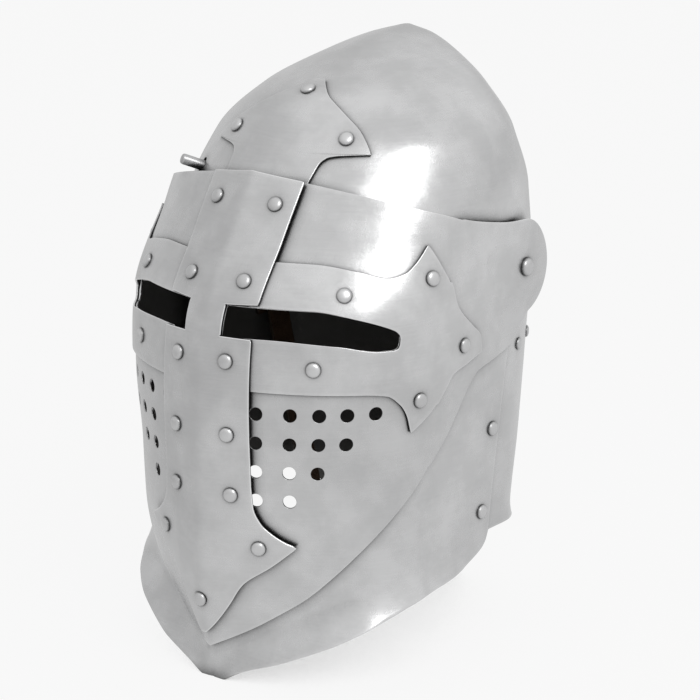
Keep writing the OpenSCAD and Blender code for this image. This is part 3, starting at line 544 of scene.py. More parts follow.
for side in (-1, 1):
    for column, (centre, holes) in enumerate(BREATHS):
        j0, j1 = (nearest(q1, e) for e in sorted(side * np.array(COLUMNS[column:column + 2])))
        for k in range(holes):
            i1 = sum(counts[:2]) - SQUARE * k
            i0 = i1 - SQUARE
            keep[i0:i1, j0:j1] = False
            loop = square_loop(number, i0, i1, j0, j1)
            c = np.array([side * centre, TOP_ROW - PITCH * k])
            wide = np.linalg.norm(visor_at(c[0] + 0.002, c[1]) - visor_at(c[0] - 0.002, c[1])) / 0.004
            flat = np.stack([q.ravel()[loop] * wide, z.ravel()[loop]], 1)
            more, block = round_hole(loop, flat, c * [wide, 1], BREATH, count)
            points_q.append(more[:, 0] / wide)
            points_z.append(more[:, 1])
            blocks.append(block)
            count += len(more)
skin, skin_n = on_visor(np.concatenate(points_q), np.concatenate(points_z), 0)
used, cells = np.unique(np.concatenate([cells[keep]] + blocks), return_inverse=True)
sheet("face_plate_smooth", "visor", skin[used], skin_n[used], cells.reshape(-1, 4), PLATE, "steel",
      ["face_plate"], drilled=used >= rows * cols)

# %% [markdown]
# ## The applied cross
# A cross of the same sheet is riveted over the face plate: two arms with three points each, and
# an upright whose foot ends in three points.  Its top is a piece of its own on the brow, so that
# the face plate can swing.  The outlines are drawn as heights and widths on the plates below, so
# every point lies on its curved surface.

# %% Cross on the face plate
# heights of the arms' edges at q
ARM_TOP = [[0.155, 270.5], [0.33, 270], [0.51, 266], [0.64, 262], [0.71, 264], [0.75, 270], [0.78, 278.5],
           [0.9, 265], [1.03, 251], [1.13, 236], [1.2, 228], [1.27, 221], [1.34, 213], [1.355, 206]]
ARM_LOW = [[0.155, 197.5], [0.6, 196], [0.71, 194], [0.78, 187], [0.815, 180], [0.845, 168], [0.92, 174],
           [1, 180.5], [1.08, 190], [1.125, 195.5], [1.24, 198.5], [1.355, 202]]
ARM_LIFT, TOP_LIFT = GAP + PLATE, 2 * (GAP + PLATE)
half = spread(0.155, 66, 0.71, 4, 0.728, 8, SIGHT_OUT, 6, 0.78, 8, 0.845, 18, 1, 44, 1.34, 3, 1.355)
for side, name in ((1, "cross_arm_left"), (-1, "cross_arm_right")):
    q1 = side * half[::side]
    w = np.abs(q1)
    low, high = drawn(ARM_LOW, w, (0.845,)), drawn(ARM_TOP, w, (0.78,))
    counts = [14, 8, 16]
    z = banded([low, *between(low, high, w), high], counts)
    q = q1 + 0 * z
    cells = grid_faces(*z.shape)
    keep = np.ones(cells.shape[:2], bool)
    keep[counts[0]:sum(counts[:2]), (w[1:] + w[:-1]) / 2 < SIGHT_OUT] = False
    skin, skin_n = on_visor(q, z, ARM_LIFT)
    used, cells = np.unique(cells[keep], return_inverse=True)
    sheet(name + "_smooth", "visor", skin.reshape(-1, 3)[used], skin_n.reshape(-1, 3)[used],
          cells.reshape(-1, 4), PLATE, "cross_steel", [name])

# the upright's half width at each height, and how far its upper edge is cut down
UPRIGHT = [[38, 0.8], [47, 8], [58, 15.5], [73, 25], [86, 42], [98.5, 56], [101.5, 50], [105.5, 44.5],
           [113, 37.2], [123, 33], [137, 32], [227.8, 32], [228.5, 12.6], [247, 12.6], [247.7, 32.5],
           [322, 33.5]]
CUT_MIDDLE, CUT_SIDES = 3.2, 4.3
z = spread(38, 40, 98.5, 16, 113, 10, 137, 44, 227.8, 2, 228.5, 10, 247, 2, 247.7, 40, 320.5)[:, None]
wide = drawn(UPRIGHT, z, (98.5, 137, 227.8, 228.5, 247, 247.7))
s = np.linspace(-1, 1, 41)[None, :]
z = z - ease((z - 250) / 70) * (CUT_MIDDLE + CUT_SIDES * np.abs(s))
q = np.arcsin(np.minimum(1, np.abs(s * wide) / smooth(VISOR, 1, z))) / (np.pi / 2) * np.sign(s)
skin, skin_n = on_visor(q, z, TOP_LIFT)
sheet("cross_upright_smooth", "visor", skin.reshape(-1, 3), skin_n.reshape(-1, 3),
      grid_faces(*z.shape).reshape(-1, 4), PLATE, "cross_steel", ["cross_upright"], proud=0.7)

# %% Cross on the brow
# half width at each height
BROW = [[303, 30], [315.5, 32], [322, 33], [325.5, 36], [327, 43], [327.6, 59], [333, 54.5], [340, 47],
        [347, 36], [352, 27], [356, 19], [360, 11], [363.5, 3]]
z = spread(303, 16, 325.5, 6, 327.6, 30, 363.5)[:, None]
s = np.linspace(-1, 1, 49)[None, :]
wide = drawn(BROW, z, (327.6,))
z = z + 0 * s
t = np.degrees(np.arcsin(np.minimum(1, np.abs(s * wide) / smooth(CROWN, 1, z)))) * np.sign(s)
skin_n = normal_of(crown_at, t, z, 0.3, 0.5)
skin = crown_at(t, z) + skin_n * (GAP + PLATE)
sheet("brow_cross_smooth", "helmet", skin.reshape(-1, 3), skin_n.reshape(-1, 3),
      grid_faces(*z.shape).reshape(-1, 4), PLATE, "cross_steel", ["brow_cross"])

# %% [markdown]
# ## Rivets
# Each rivet has a hammered dome outside and a flatter peened end inside.  One lathe profile is
# turned round and carried to every place at once: the array has an axis for the rivets, one for
# the profile and one for the turn.

# %% Rivets
TURNS = 28
angle = np.linspace(0, 90, 10) * np.pi / 180
DOME = np.stack([np.cos(angle) ** 0.78, np.sin(angle) ** 0.92], 1)


def lathe(places, normals, profile):
    """Turns a profile of rows (r, h) round every normal: p + n h + r (side cos(a) + other sin(a))."""
    places, n = np.atleast_2d(places), unit(np.atleast_2d(normals))
    side = unit(np.cross(n, np.where(np.abs(n[:, 2:]) < 0.9, [[0, 0, 1.0]], [[1.0, 0, 0]])))
    other = np.cross(n, side)
    r, h = profile.T[..., None]
    a = np.linspace(0, 2 * np.pi, TURNS, endpoint=False)[:, None]
    away = side[:, None, None] * np.cos(a) + other[:, None, None] * np.sin(a)
    ring = places[:, None, None] + n[:, None, None] * h[..., None] + away * r[..., None]
    cells = grid_faces(len(h), TURNS, wrap=True).reshape(-1, 4)
    step = len(h) * TURNS
    ends = np.stack([np.arange(TURNS)[::-1], step - TURNS + np.arange(TURNS)])
    block = np.arange(len(places))[:, None, None] * step
    cells, ends = (cells[None] + block).reshape(-1, 4), (ends[None] + block).reshape(-1, TURNS)
    return ring.reshape(-1, 3), [cells, ends]


def heads(places, normals, radius, height, rise=0.18):
    """Domed heads: r = radius cos(a)^0.78, h = rise + height sin(a)^0.92, standing on the normals."""
    r = np.concatenate([[1.0], DOME[:-1, 0], [0.03]]) * radius
    return lathe(places, normals, np.stack([r, np.concatenate([[-0.5], rise + DOME[:, 1] * height])], 1))


def rivets(name, body, hides, places, normals, grip, radius=4.75, height=2.5, end=3.4, slot="rivet_steel"):
    """A set of rivets: heads outside, and peened ends a grip further in."""
    outer, outer_f = heads(places, normals, radius, height)
    inner, inner_f = heads(places - unit(normals) * grip, -normals, end, 1.2)
    faces = outer_f + [f + len(outer) for f in inner_f]
    return put_mesh(name, body, np.concatenate([outer, inner]), faces, None, slot, hides)


UPRIGHT_RIVETS = np.array([[0.127, 300.5], [0.113, 259], [0.101, 214.5], [0.11, 169.5], [0.121, 131],
                           [0.216, 97.5]])
FOOT_RIVET = [0, 60.5]
ARM_RIVETS = np.array([[0.483, 254], [0.86, 259.5], [1.2, 211], [0.885, 187.3], [0.412, 212]])
BEVOR_RIVETS = np.array([[23, 144.5], [11.5, 91]])
BROW_RIVETS = np.array([[27, 335.5], [-27, 335.5], [0, 359]])
q, z = np.concatenate([UPRIGHT_RIVETS * [-1, 1], UPRIGHT_RIVETS, [FOOT_RIVET]]).T
rivets("upright_heads", "visor", ["upright_rivets"], *on_visor(q, z, TOP_LIFT), TOP_LIFT + PLATE)
for side, name in ((1, "left"), (-1, "right")):
    spot, out = on_visor(side * ARM_RIVETS[:, 0], ARM_RIVETS[:, 1], ARM_LIFT)
    rivets(f"arm_heads_{name}", "visor", [f"arm_rivets_{name}"], spot, out, ARM_LIFT + PLATE)
    y, z = BEVOR_RIVETS.T
    c = smooth(BEVOR, 2, z)
    x = bevor_at(1 + (y - c) / (bevor_end(z) - c), z)[:, 0]
    rivets(f"bevor_heads_{name}", "helmet", [f"bevor_rivets_{name}"], np.stack([side * x, y, z], 1),
           np.array([[side, 0, 0]] * len(x), float), 2 * PLATE + GAP)
t, z = BROW_RIVETS.T
out = normal_of(crown_at, t, z, 0.3, 0.5)
rivets("brow_heads", "helmet", ["brow_rivets"], crown_at(t, z) + out * (GAP + PLATE), out, GAP + 2 * PLATE)

# %% Pivots
WASHER = 2.4


def crown_side(y, z):
    """Half the crown's width at the depth y behind its widest place: a (1 - s^2.6)^(1/2.6)."""
    a, back, c = (smooth(CROWN, k, z) for k in (1, 3, 4))
    return a * (1 - ((y - c) / (back - c)) ** 2.6) ** (1 / 2.6)


for side, name in ((1, "left"), (-1, "right")):
    rivets(f"pivot_head_{name}", "helmet", [f"pivot_rivet_{name}"], [[side * (EAR_X + 0.1), *PIVOT]],
           np.array([[side, 0, 0.0]]), EAR_X - crown_side(PIVOT[0] - 7, PIVOT[1]) + PLATE + WASHER,
           radius=6, height=3.65, end=4.8)

# %% [markdown]
# ## The spring stud
# A stud on a leaf spring inside the crown stands out over the face plate's upper edge, and has to
# be pushed in before the face plate swings up.  The stud is a lathe profile along its own slant,
# and the leaf is a strip that drops away from the crown between its two rivets and the stud.  A
# hinge could carry the leaf, but the real one bends; here the leaf is given no body, and the two
# places between which it would bend are worked out but not used.

# %% Stud and leaf
STUD_WAY = unit(np.array([-0.6, -0.7, 0.38]))
LEAF, STUD_IN = 1.2, 9.4
LEAF_IN = PLATE + GAP + 0.45        # depth of the leaf under the crown's outside, at its rivets
LEAF_FIRM, LEAF_FREE = -24.0, -4.0  # angles from the stud between which the leaf would bend; they give bend_from and bend_to
stud = np.array([[0.2, -STUD_IN], [3.2, -STUD_IN], [3.5, -9.1], [3.5, -8.5], [4.7, -8.4], [5, -8.1],
                 [5, -6.5], [4.7, -6.2], [3.6, -6.1], [3.5, -5.6], [3.5, 12.4], [3.45, 13],
                 [3.2, 13.7], [2.7, 14.2], [2, 14.45], [0.2, 14.5]])
stud_points, stud_faces = lathe(crown_at(np.array([STUD_T]), np.array([STUD_Z])), STUD_WAY, stud)
put_mesh("spring_stud", "lock", stud_points, stud_faces, None, "spring_steel", ["lock_spring"])
d = np.linspace(-38, 5, 52)[None, :]
round_end = np.sqrt(1 - np.clip((d + 33) / -5.2, 0, 1) ** 2 * 0.9)
z = STUD_Z - 2 + np.linspace(-6, 6, 9)[:, None] * round_end
d = d + 0 * z
drop = LEAF_IN + (STUD_IN - LEAF - 3.2) * ease((d + 20) / 20)
skin_n = normal_of(crown_at, STUD_T + d, z, 0.3, 0.5)
skin = crown_at(STUD_T + d, z) - skin_n * drop[..., None]
leaf = sheet("spring_leaf", None, skin.reshape(-1, 3), skin_n.reshape(-1, 3),
             grid_faces(*d.shape).reshape(-1, 4), LEAF, "spring_steel", ["lock_spring"], proud=0.2)
bend_from, bend_to = ((crown_at(np.array(STUD_T + e), np.array(STUD_Z)) + SHIFT) * 0.001
                      for e in (LEAF_FIRM, LEAF_FREE))
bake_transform(leaf)
t = STUD_T + np.array([-27, -34.0])
z = STUD_Z - 2 + 0 * t
rivets("leaf_heads", "helmet", ["lock_rivets"], crown_at(t, z), normal_of(crown_at, t, z, 0.3, 0.5),
       LEAF_IN + LEAF, radius=2.75, height=1, end=2.4)

# %% [markdown]
# ## The lining
# The head is carried by a quilted linen cap, laced to a leather band that is riveted round the
# back of the crown.  Quilting is two skins sewn together in channels with wool between them.
# A cloth simulation could blow the channels up, but the cap lies 0.4 mm from its neighbours, so
# the swelling is a formula: half the thickness follows a root of a sine between two seams.

# %% Quilted cap
CAP = [[196, 102.1, -90, 117.1, 30], [215, 97, -88, 118, 30], [245, 96, -84, 122, 30],
       [290, 95, -72, 117, 28], [320, 87, -40, 103, 36], [340, 71, -14, 93, 46], [352, 50, 8, 84, 50],
       [360, 20, 34, 66, 50]]
CAP_LOW = [[0, 326], [52, 325], [60, 301], [67, 262], [75, 226], [85, 208], [116, 207], [125, 197],
           [181, 197]]
CAP_TOP, CAP_THICK, CHANNELS, COLUMNS_EACH = 359, 7.0, 24, 14
HEM, RING = 9, 0.86  # the hem is 9 mm high, and a round seam ends the channels at s = 0.86
CLOTH = 600          # the weave's width round the cap, in mm


def cap_at(t, z):
    """The cap's outside: the crown's formula with the cap's own sections."""
    return crown_at(t, z, 0.0, CAP)


# the middle of the wool, from the hem up to the top
t = np.arange(CHANNELS * COLUMNS_EACH) * 360 / (CHANNELS * COLUMNS_EACH)
s = spread(0, 14, 0.12, 44, 0.84, 8, 0.9, 12, 1)[:, None]
low = drawn(CAP_LOW, np.minimum(t, 360 - t), (52,))
z = low + (CAP_TOP - low) * np.sin(np.pi / 2 * s)
mid_n = normal_of(cap_at, t + 0 * z, np.minimum(z, CAP_TOP - 3), 0.5, 0.5)
mid = cap_at(t, z) - mid_n * CAP_THICK / 2
arc = np.concatenate([0 * mid[:1, :, 0], np.cumsum(np.linalg.norm(np.diff(mid, axis=0), axis=-1), 0)])

# half the thickness: 0.9 mm at a seam, and 2.35 mm more in the middle of a channel
across = np.abs(np.sin(np.pi * t * CHANNELS / 360)) + 0 * arc
round_seam = np.minimum(np.abs(arc - HEM), np.abs(s - RING) * arc[-1])
bead = np.sqrt(np.clip(1 - ((arc - HEM / 2) / (HEM / 2)) ** 2, 0, 1))
fade = np.clip(round_seam / 7, 0, 1) ** 0.5
quilt = np.where(s > RING, 0.75 * fade, np.where(arc < HEM, bead, across ** 0.55 * fade))
swell = (0.9 + 2.35 * quilt)[..., None]

# each point's distance from the nearest seam, in mm, for the thread
radius = np.hypot(*(mid[..., :2] - [0, 30]).T).T
channel_seam = np.arcsin(across) / np.pi / CHANNELS * 2 * np.pi * radius
seam = np.minimum(round_seam, np.where((arc > HEM) & (s < RING), channel_seam, 99))

# inside, the round lip of the hem and outside, each closed over the top
turn = np.radians(np.linspace(-90, 90, 7)[1:-1])[:, None, None]
down = unit(mid[0] - mid[1])
lip = mid[0] + swell[0] * (mid_n[0] * np.sin(turn) + down * np.cos(turn))
top = np.array([0, 50, 360.4])
under = top - [0, 0, CAP_THICK - 2.4]
shrink = np.linspace(1, 0.05, 7)[1:, None, None]
outer, inner = mid + mid_n * swell, mid - mid_n * swell
outer = np.concatenate([outer, top + (outer[-1] - top) * shrink])
inner = np.concatenate([inner, under + (inner[-1] - under) * shrink])
points = np.concatenate([inner[::-1], lip, outer])
crest, fold = np.full((len(shrink), len(t)), 20.0), np.full((len(turn), len(t)), 9.0)
seam = np.concatenate([crest, seam[::-1], fold, seam, crest])

# the weave's own map: along the hem and up the cap, in mm
length = np.concatenate([arc, arc[-1] + 12 * (1 - shrink[..., 0]) + 0 * crest])
length = np.concatenate([-length[::-1], 0 * lip[..., 0], length])
cells = grid_faces(len(points), len(t), wrap=True)
rows, cols = cells.shape[:2]
u = np.arange(cols)[None, :, None] + [0, 1, 1, 0] + np.zeros((rows, 1, 1))
v = np.stack([length[:-1], np.roll(length[:-1], -1, 1), np.roll(length[1:], -1, 1), length[1:]], -1)
uv = np.concatenate([np.stack([u * CLOTH / cols, v], -1).reshape(-1, 2), np.zeros((2 * cols, 2))])
last = np.arange(rows * cols + cols)
cap = put_mesh("quilted_cap_linen", "helmet", points.reshape(-1, 3),
               [cells.reshape(-1, 4), last[None, :cols][:, ::-1], last[None, -cols:]], None, "linen",
               ["quilted_cap"], uv, seam=seam.ravel())

# %% Liner band and its rivets
BAND_Z, BAND_IN, HIDE = 191.0, PLATE + 0.5, 2.4
STRAP_T, STRAP_IN = 104, BAND_IN + HIDE + 4
t = 180 + np.linspace(-82.6, 82.6, 180)[None, :]
z = BAND_Z + np.linspace(-9, 9, 13)[:, None] + 0 * t
t = t + 0 * z
skin_n = normal_of(crown_at, t, z, 0.3, 0.5)
skin = crown_at(t, z) - skin_n * BAND_IN
sheet("liner_band_leather", "helmet", skin.reshape(-1, 3), skin_n.reshape(-1, 3),
      grid_faces(*t.shape).reshape(-1, 4), HIDE, "leather", ["liner_band"], proud=0.4)
t = np.array([STRAP_T, 123, 138, 152, 165, 176.0])
grip = np.where(t == STRAP_T, STRAP_IN + HIDE + 0.9, BAND_IN + HIDE + 0.4)
t, grip = np.concatenate([t, -t]), np.concatenate([grip, grip])[:, None]
z = BAND_Z + 0 * t
rivets("liner_heads", "helmet", ["liner_rivets"], crown_at(t, z), normal_of(crown_at, t, z, 0.3, 0.5),
       grip, radius=4, height=2)

# %% [markdown]
# ## Chin straps and buckle
# Two leather straps hang from the foremost rivets of the band.  The left one carries a brass
# buckle in a loop of its end, with a slot for the prong; the right one has six punched holes.
# Straps are modelled flat in their own frame, along, across and out, then laid in place.

# %% Straps
STRAP, LEAN = 20.0, np.radians(101)
STRAP_END, FIRST_HOLE, HOLE_STEP, HOLES = 155.0, 65, 14, 6
BAR, WIRE, LOOP_END = 63.8, 3.0, 46
start = crown_at(np.array(STRAP_T * 1.0), np.array(BAND_Z))
start = start - normal_of(crown_at, np.array(STRAP_T * 1.0), np.array(BAND_Z), 0.3, 0.5) * STRAP_IN
strap_axes = np.array([[np.cos(LEAN), 0, -np.sin(LEAN)], [0, 1, 0], [np.sin(LEAN), 0, np.cos(LEAN)]])


def on_strap(local, side=1, place=True):
    """From a strap's own frame to the helmet's: start + along e1 + across e2 + out e3, mirrored
    for side -1. Directions go without the start."""
    return ((start if place else 0) + local @ strap_axes) * [side, 1, 1]


def half_width(x, end):
    """Half the strap's width at x: its ends, at 0 and end, are round."""
    past = np.minimum(x, 0) ** 2 / 101 + np.maximum(x - end, 0) ** 2 / 101
    return STRAP / 2 * np.sqrt(np.clip(1 - past, 0, 1))


# the right strap: its length runs along x, with closer steps at its holes
quarter = np.linspace(0, np.pi / 2, 9)
holes = FIRST_HOLE + HOLE_STEP * np.arange(HOLES)
near_holes = holes[:, None] + np.concatenate([np.linspace(-5, 5, 9), [6.5, 8.0]])
x = np.concatenate([-10 * np.cos(quarter)[:-1], spread(0, 40, 60), near_holes.ravel(),
                    spread(144.5, 6, STRAP_END), STRAP_END + 10 * np.sin(quarter)[1:]])
x = np.unique(np.round(x, 3))
w = spread(-10, 4, -5, 8, 5, 4, 10)[:, None]
along, wide = x + 0 * w, w / 10 * half_width(x, STRAP_END)
number = np.arange(along.size).reshape(along.shape)
flat, blocks = [np.stack([along, wide], -1).reshape(-1, 2)], []
cells = grid_faces(*along.shape)
keep = np.ones(cells.shape[:2], bool)
count = along.size
for hole in holes:
    j0, j1 = (nearest(x, hole + e) for e in (-5, 5))
    keep[4:12, j0:j1] = False
    loop = square_loop(number, 4, 12, j0, j1)
    more, block = round_hole(loop, flat[0][loop], np.array([hole, 0.0]), 2.0, count)
    flat.append(more)
    blocks.append(block)
    count += len(more)
flat = np.concatenate(flat)
local = np.concatenate([flat, np.zeros((len(flat), 1))], 1)
used, cells = np.unique(np.concatenate([cells[keep]] + blocks), return_inverse=True)
sheet("chin_strap_right_leather", "strap_right", on_strap(local, -1)[used],
      np.tile(on_strap(np.array([0, 0, 1.0]), -1, False), (len(used), 1)),
      cells.reshape(-1, 4)[:, ::-1], HIDE, "leather", ["chin_strap_right"], proud=0.5)

# the left strap: there, round the buckle's bar and back, with a slot for the prong
R = WIRE / 2 + 0.08 + HIDE
a = np.radians(np.linspace(90, -90, 25))
there = np.concatenate([-10 * np.cos(quarter)[:-1], spread(0, 26, 54.6), np.linspace(55.2, BAR, 12)[:-1]])
back = np.linspace(BAR - 1, LOOP_END, 16)
x = np.concatenate([there, BAR + R * np.cos(a), back])
path = np.concatenate([(R - HIDE / 2) * ease((there - 53) / (BAR - 53)), -HIDE / 2 + R * np.sin(a),
                       -HIDE / 2 - R + (R - HIDE * 1.5 - 0.05) * ease((BAR - back) / 12)])
run = np.gradient(np.stack([x, path], 1), axis=0)
out = unit(np.stack([-run[:, 1], 0 * x, run[:, 0]], 1))
w = spread(-1, 6, -0.2, 2, 0.2, 6, 1)[:, None]
wide = w * np.where(x < 0, half_width(x, 999.0), STRAP / 2)
local = np.stack([x + 0 * w, wide, path + 0 * w], -1)
cells = grid_faces(*wide.shape)
keep = np.ones(cells.shape[:2], bool)
keep[6:8, len(there) - 12:len(x) - 8] = False
used, cells = np.unique(cells[keep], return_inverse=True)
sheet("chin_strap_left_leather", "strap_left", on_strap(local).reshape(-1, 3)[used],
      np.broadcast_to(on_strap(out, 1, False), local.shape).reshape(-1, 3)[used], cells.reshape(-1, 4),
      HIDE, "leather", ["chin_strap_left"], proud=0.5)

# %% Keeper and buckle
FRAME_X, FRAME_Y = 9, 12


def oval(turn, power):
    """A circle pressed towards a square: cos and sin of the turn, each to a power, with its sign."""
    circle = np.stack([np.cos(turn), np.sin(turn)])
    return np.sign(circle) * np.abs(circle) ** power


a = np.linspace(0, 2 * np.pi, 64, endpoint=False)[None, :]
x = np.linspace(31.5, 40.5, 9)[:, None] + 0 * a
y, z = oval(a, 0.4)
ring = np.stack([x, FRAME_Y * y + 0 * x, 4.5 * z - HIDE / 2 + 0 * x], -1)
step = np.roll(ring, -1, 1) - np.roll(ring, 1, 1)
out = unit(np.stack([0 * x, step[..., 2], -step[..., 1]], -1))
sheet("keeper_leather", "strap_left", on_strap(ring).reshape(-1, 3), on_strap(out, 1, False).reshape(-1, 3),
      grid_faces(*x.shape, wrap=True).reshape(-1, 4), 1.5, "leather", ["buckle_keeper"])

b = np.linspace(0, 2 * np.pi, 18, endpoint=False)[:, None]
a = np.linspace(0, 2 * np.pi, 96, endpoint=False)
middle = oval(a, 0.3).T * [FRAME_X, FRAME_Y]
step = unit(np.roll(middle, -1, 0) - np.roll(middle, 1, 0))
side_n = np.stack([step[:, 1], -step[:, 0]], 1)
wire = np.concatenate([middle + side_n * WIRE / 2 * np.cos(b[..., None]),
                       (WIRE / 2 * np.sin(b) + 0 * a)[..., None]], -1)
frame_points = on_strap((wire + [BAR + FRAME_X, 0, -HIDE / 2]).reshape(-1, 3))
put_mesh("buckle_wire", "buckle", frame_points,
         [grid_faces(len(b), len(a), wrap=True, ring=True).reshape(-1, 4)], None,
         "buckle_brass", ["buckle_frame"])

# %% [markdown]
# ## A small language for materials
# Shader nodes are sums and products with wires.  Wire wraps a socket, so that 1 - mask or
# tone * cloud adds its Math node; colours go through Mix.  Everything that isn't a sum comes from
# Paint.node, which takes a node's type, its settings and what its sockets hold.

# %% Wires and paints
class Wire:
    """An output of a node in a material that can be added, multiplied and so on."""

    def __init__(self, paint, socket):
        self.paint, self.socket = paint, socket

    def math(self, operation, *others):
        return self.paint.node("ShaderNodeMath", {"operation": operation}, (self, *others))

    def __add__(self, other):
        return self.math("ADD", other)

    def __mul__(self, other):
        return self.math("MULTIPLY", other)

    def __sub__(self, other):
        return self.math("SUBTRACT", other)

    def __rsub__(self, other):
        return self.paint.node("ShaderNodeMath", {"operation": "SUBTRACT"}, (other, self))

    __radd__, __rmul__ = __add__, __mul__

    def between(self, low, high):
        """0 below low, 1 above high, and a soft step from one to the other."""
        return self.paint.node("ShaderNodeMapRange", {"interpolation_type": "SMOOTHSTEP"},
                               {"Value": self, "From Min": low, "From Max": high})


class Paint:
    """The nodes of a material, or of the world, while they are being wired."""

    def __init__(self, owner):
        owner.use_nodes = True
        self.owner, self.tree = owner, owner.node_tree
        self.places = self.tree.nodes.new("ShaderNodeTexCoord")
        self.spot = Wire(self, self.places.outputs["Object"])

    def put(self, socket, value):
        if isinstance(value, Wire):
            self.tree.links.new(value.socket, socket)
        else:
            socket.default_value = value

    def node(self, kind, settings=None, sockets=(), out=0):
        made = self.tree.nodes.new(kind)
        for key, value in (settings or {}).items():
            setattr(made, key, value)
        for key, value in (sockets.items() if isinstance(sockets, dict) else enumerate(sockets)):
            self.put(made.inputs[key], value)
        return Wire(self, made.outputs[out])

    def noise(self, scale, detail=3.0, stretch=(1, 1, 1), rough=0.5):
        """Noise on Object coordinates; scale is in waves a metre, and stretch multiplies each axis."""
        place = self.node("ShaderNodeMapping", {}, {"Vector": self.spot, "Scale": stretch})
        return self.node("ShaderNodeTexNoise", {}, {"Vector": place, "Scale": scale, "Detail": detail,
                                                    "Roughness": rough})

    def mark(self, name):
        """A point attribute of the mesh, such as rim."""
        return self.node("ShaderNodeAttribute", {"attribute_name": name}, out=2)

    def hollow(self, reach):
        """How open a place is: 1 on a bare plate, less beside an edge or rivet nearer than reach."""
        return self.node("ShaderNodeAmbientOcclusion", {"samples": 6}, {"Distance": reach}, out=1)

    def ray(self, kind):
        """1 for the rays of one kind, such as Is Camera Ray, and 0 for the others."""
        return self.node("ShaderNodeLightPath", out=kind)

    def mix(self, a, b, part):
        """Colour a where part is 0 and colour b where it is 1."""
        return self.node("ShaderNodeMix", {"data_type": "RGBA"}, {0: part, 6: a, 7: b}, out=2)

    def tint(self, colour, amount):
        """A colour made darker or lighter: colour x amount."""
        return self.node("ShaderNodeMix", {"data_type": "RGBA", "blend_type": "MULTIPLY"},
                         {0: 1.0, 6: colour, 7: amount}, out=2)

    def finish(self, colour, rough, height=None, depth=0.0, metal=0.0):
        """Sets colour, roughness, metallic and a bump whose height of 1 is depth metres."""
        skin = self.tree.nodes["Principled BSDF"].inputs
        for name, value in (("Base Color", colour), ("Roughness", rough), ("Metallic", metal)):
            self.put(skin[name], value)
        if height is not None:
            bump = self.node("ShaderNodeBump", {}, {"Strength": 1.0, "Distance": depth, "Height": height})
            self.put(skin["Normal"], bump)
        return self.owner


def new_paint(name):
    """A new material, ready to be wired."""
    return Paint(bpy.data.materials.new(name))


def grey(tone):
    """The colour of an even tone."""
    return (tone, tone, tone, 1)


# %% [markdown]
# ## Finishes
# The plates are bare mild steel with a satin polish: cloudy where the polish is uneven, with
# painted shade in the corners and a painted highlight on filed edges.  Ambient occlusion finds
# the corners for the painted shade, the rim attribute the edges.  The insides are left black
# from the forge.

# %% Steel
def satin_steel(name, tone, rough, streaks=1.0):
    """Polished plate: tone x clouds x stains x polishing lines x painted shade in the corners, and a
    painted highlight on the rims.
    """
    p = new_paint(name)
    clouds, stains = p.noise(10, 4), p.noise(36, 4, rough=0.6)
    lines = p.noise(1, 2, (45, 45, 1300))
    scuffs = p.noise(1, 3, (900, 120, 90), 0.6)
    # painted shade: ambient occlusion finds the places beside edges, laps and rivets where shade falls
    corner = p.hollow(0.009).between(0.58, 1.0)
    rim = p.mark("rim")
    shade = (0.89 + 0.13 * clouds.between(0.3, 0.7)) * (0.92 + 0.12 * stains.between(0.35, 0.7))
    # painted shade: the colour falls to a fifth in those corners
    shade = shade * (0.96 + 0.08 * lines * streaks) * (0.2 + 0.8 * corner)
    # painted highlight: the rim attribute lightens the colour on the filed edges
    shade = shade + 0.38 * rim * (0.3 + 0.7 * corner)
    colour = p.tint((tone, tone * 1.002, tone * 1.008, 1), shade)
    roughness = rough + 0.14 * (stains - 0.5) + 0.08 * (1 - corner) + 0.05 * scuffs - 0.06 * rim
    return p.finish(colour, roughness, clouds + 0.25 * stains + 0.02 * lines, 0.0012, 1.0)


def forge_black(name):
    """The inside of a plate: black scale, rubbed to bare metal on the high places."""
    p = new_paint(name)
    scale = p.noise(60, 5, rough=0.65)
    rubbed = scale.between(0.62, 0.8)
    colour = p.mix((0.11, 0.108, 0.105, 1), (0.2, 0.196, 0.192, 1), rubbed)
    return p.finish(colour, 0.62 - 0.15 * rubbed, scale, 0.0006, 0.7 * rubbed + 0.1)


plate_steel = satin_steel("plate_steel", 0.61, 0.24)
cross_steel = satin_steel("cross_plate_steel", 0.615, 0.23)
rivet_steel = satin_steel("rivet_steel", 0.64, 0.3, 0.3)
spring_steel = satin_steel("spring_steel", 0.5, 0.3, 0.5)
black_inside = forge_black("forge_black_inside")


# %% Brass, leather and linen
def old_brass(name):
    """Cast brass: yellow where it is rubbed, brown in its corners."""
    p = new_paint(name)
    spots = p.noise(160, 4)
    corner = p.hollow(0.004).between(0.35, 0.95)
    colour = p.mix((0.16, 0.09, 0.035, 1), (0.72, 0.5, 0.2, 1), corner * (0.7 + 0.3 * spots))
    return p.finish(colour, 0.42 - 0.18 * corner * spots, spots, 0.0001, 1.0)


def oiled_leather(name):
    """Brown leather: a grain of small cells, darker along its cut edges."""
    p = new_paint(name)
    cells = p.node("ShaderNodeTexVoronoi", {}, {"Vector": p.spot, "Scale": 900.0})
    wear = p.noise(45, 4)
    edge = p.mark("rim")
    colour = p.mix((0.04, 0.022, 0.012, 1), (0.13, 0.075, 0.042, 1), wear.between(0.3, 0.75))
    colour = p.tint(colour, (1 - 0.55 * edge) * (0.8 + 0.35 * cells))
    return p.finish(colour, 0.5 + 0.2 * wear - 0.1 * edge, cells + 0.8 * wear, 0.00025)


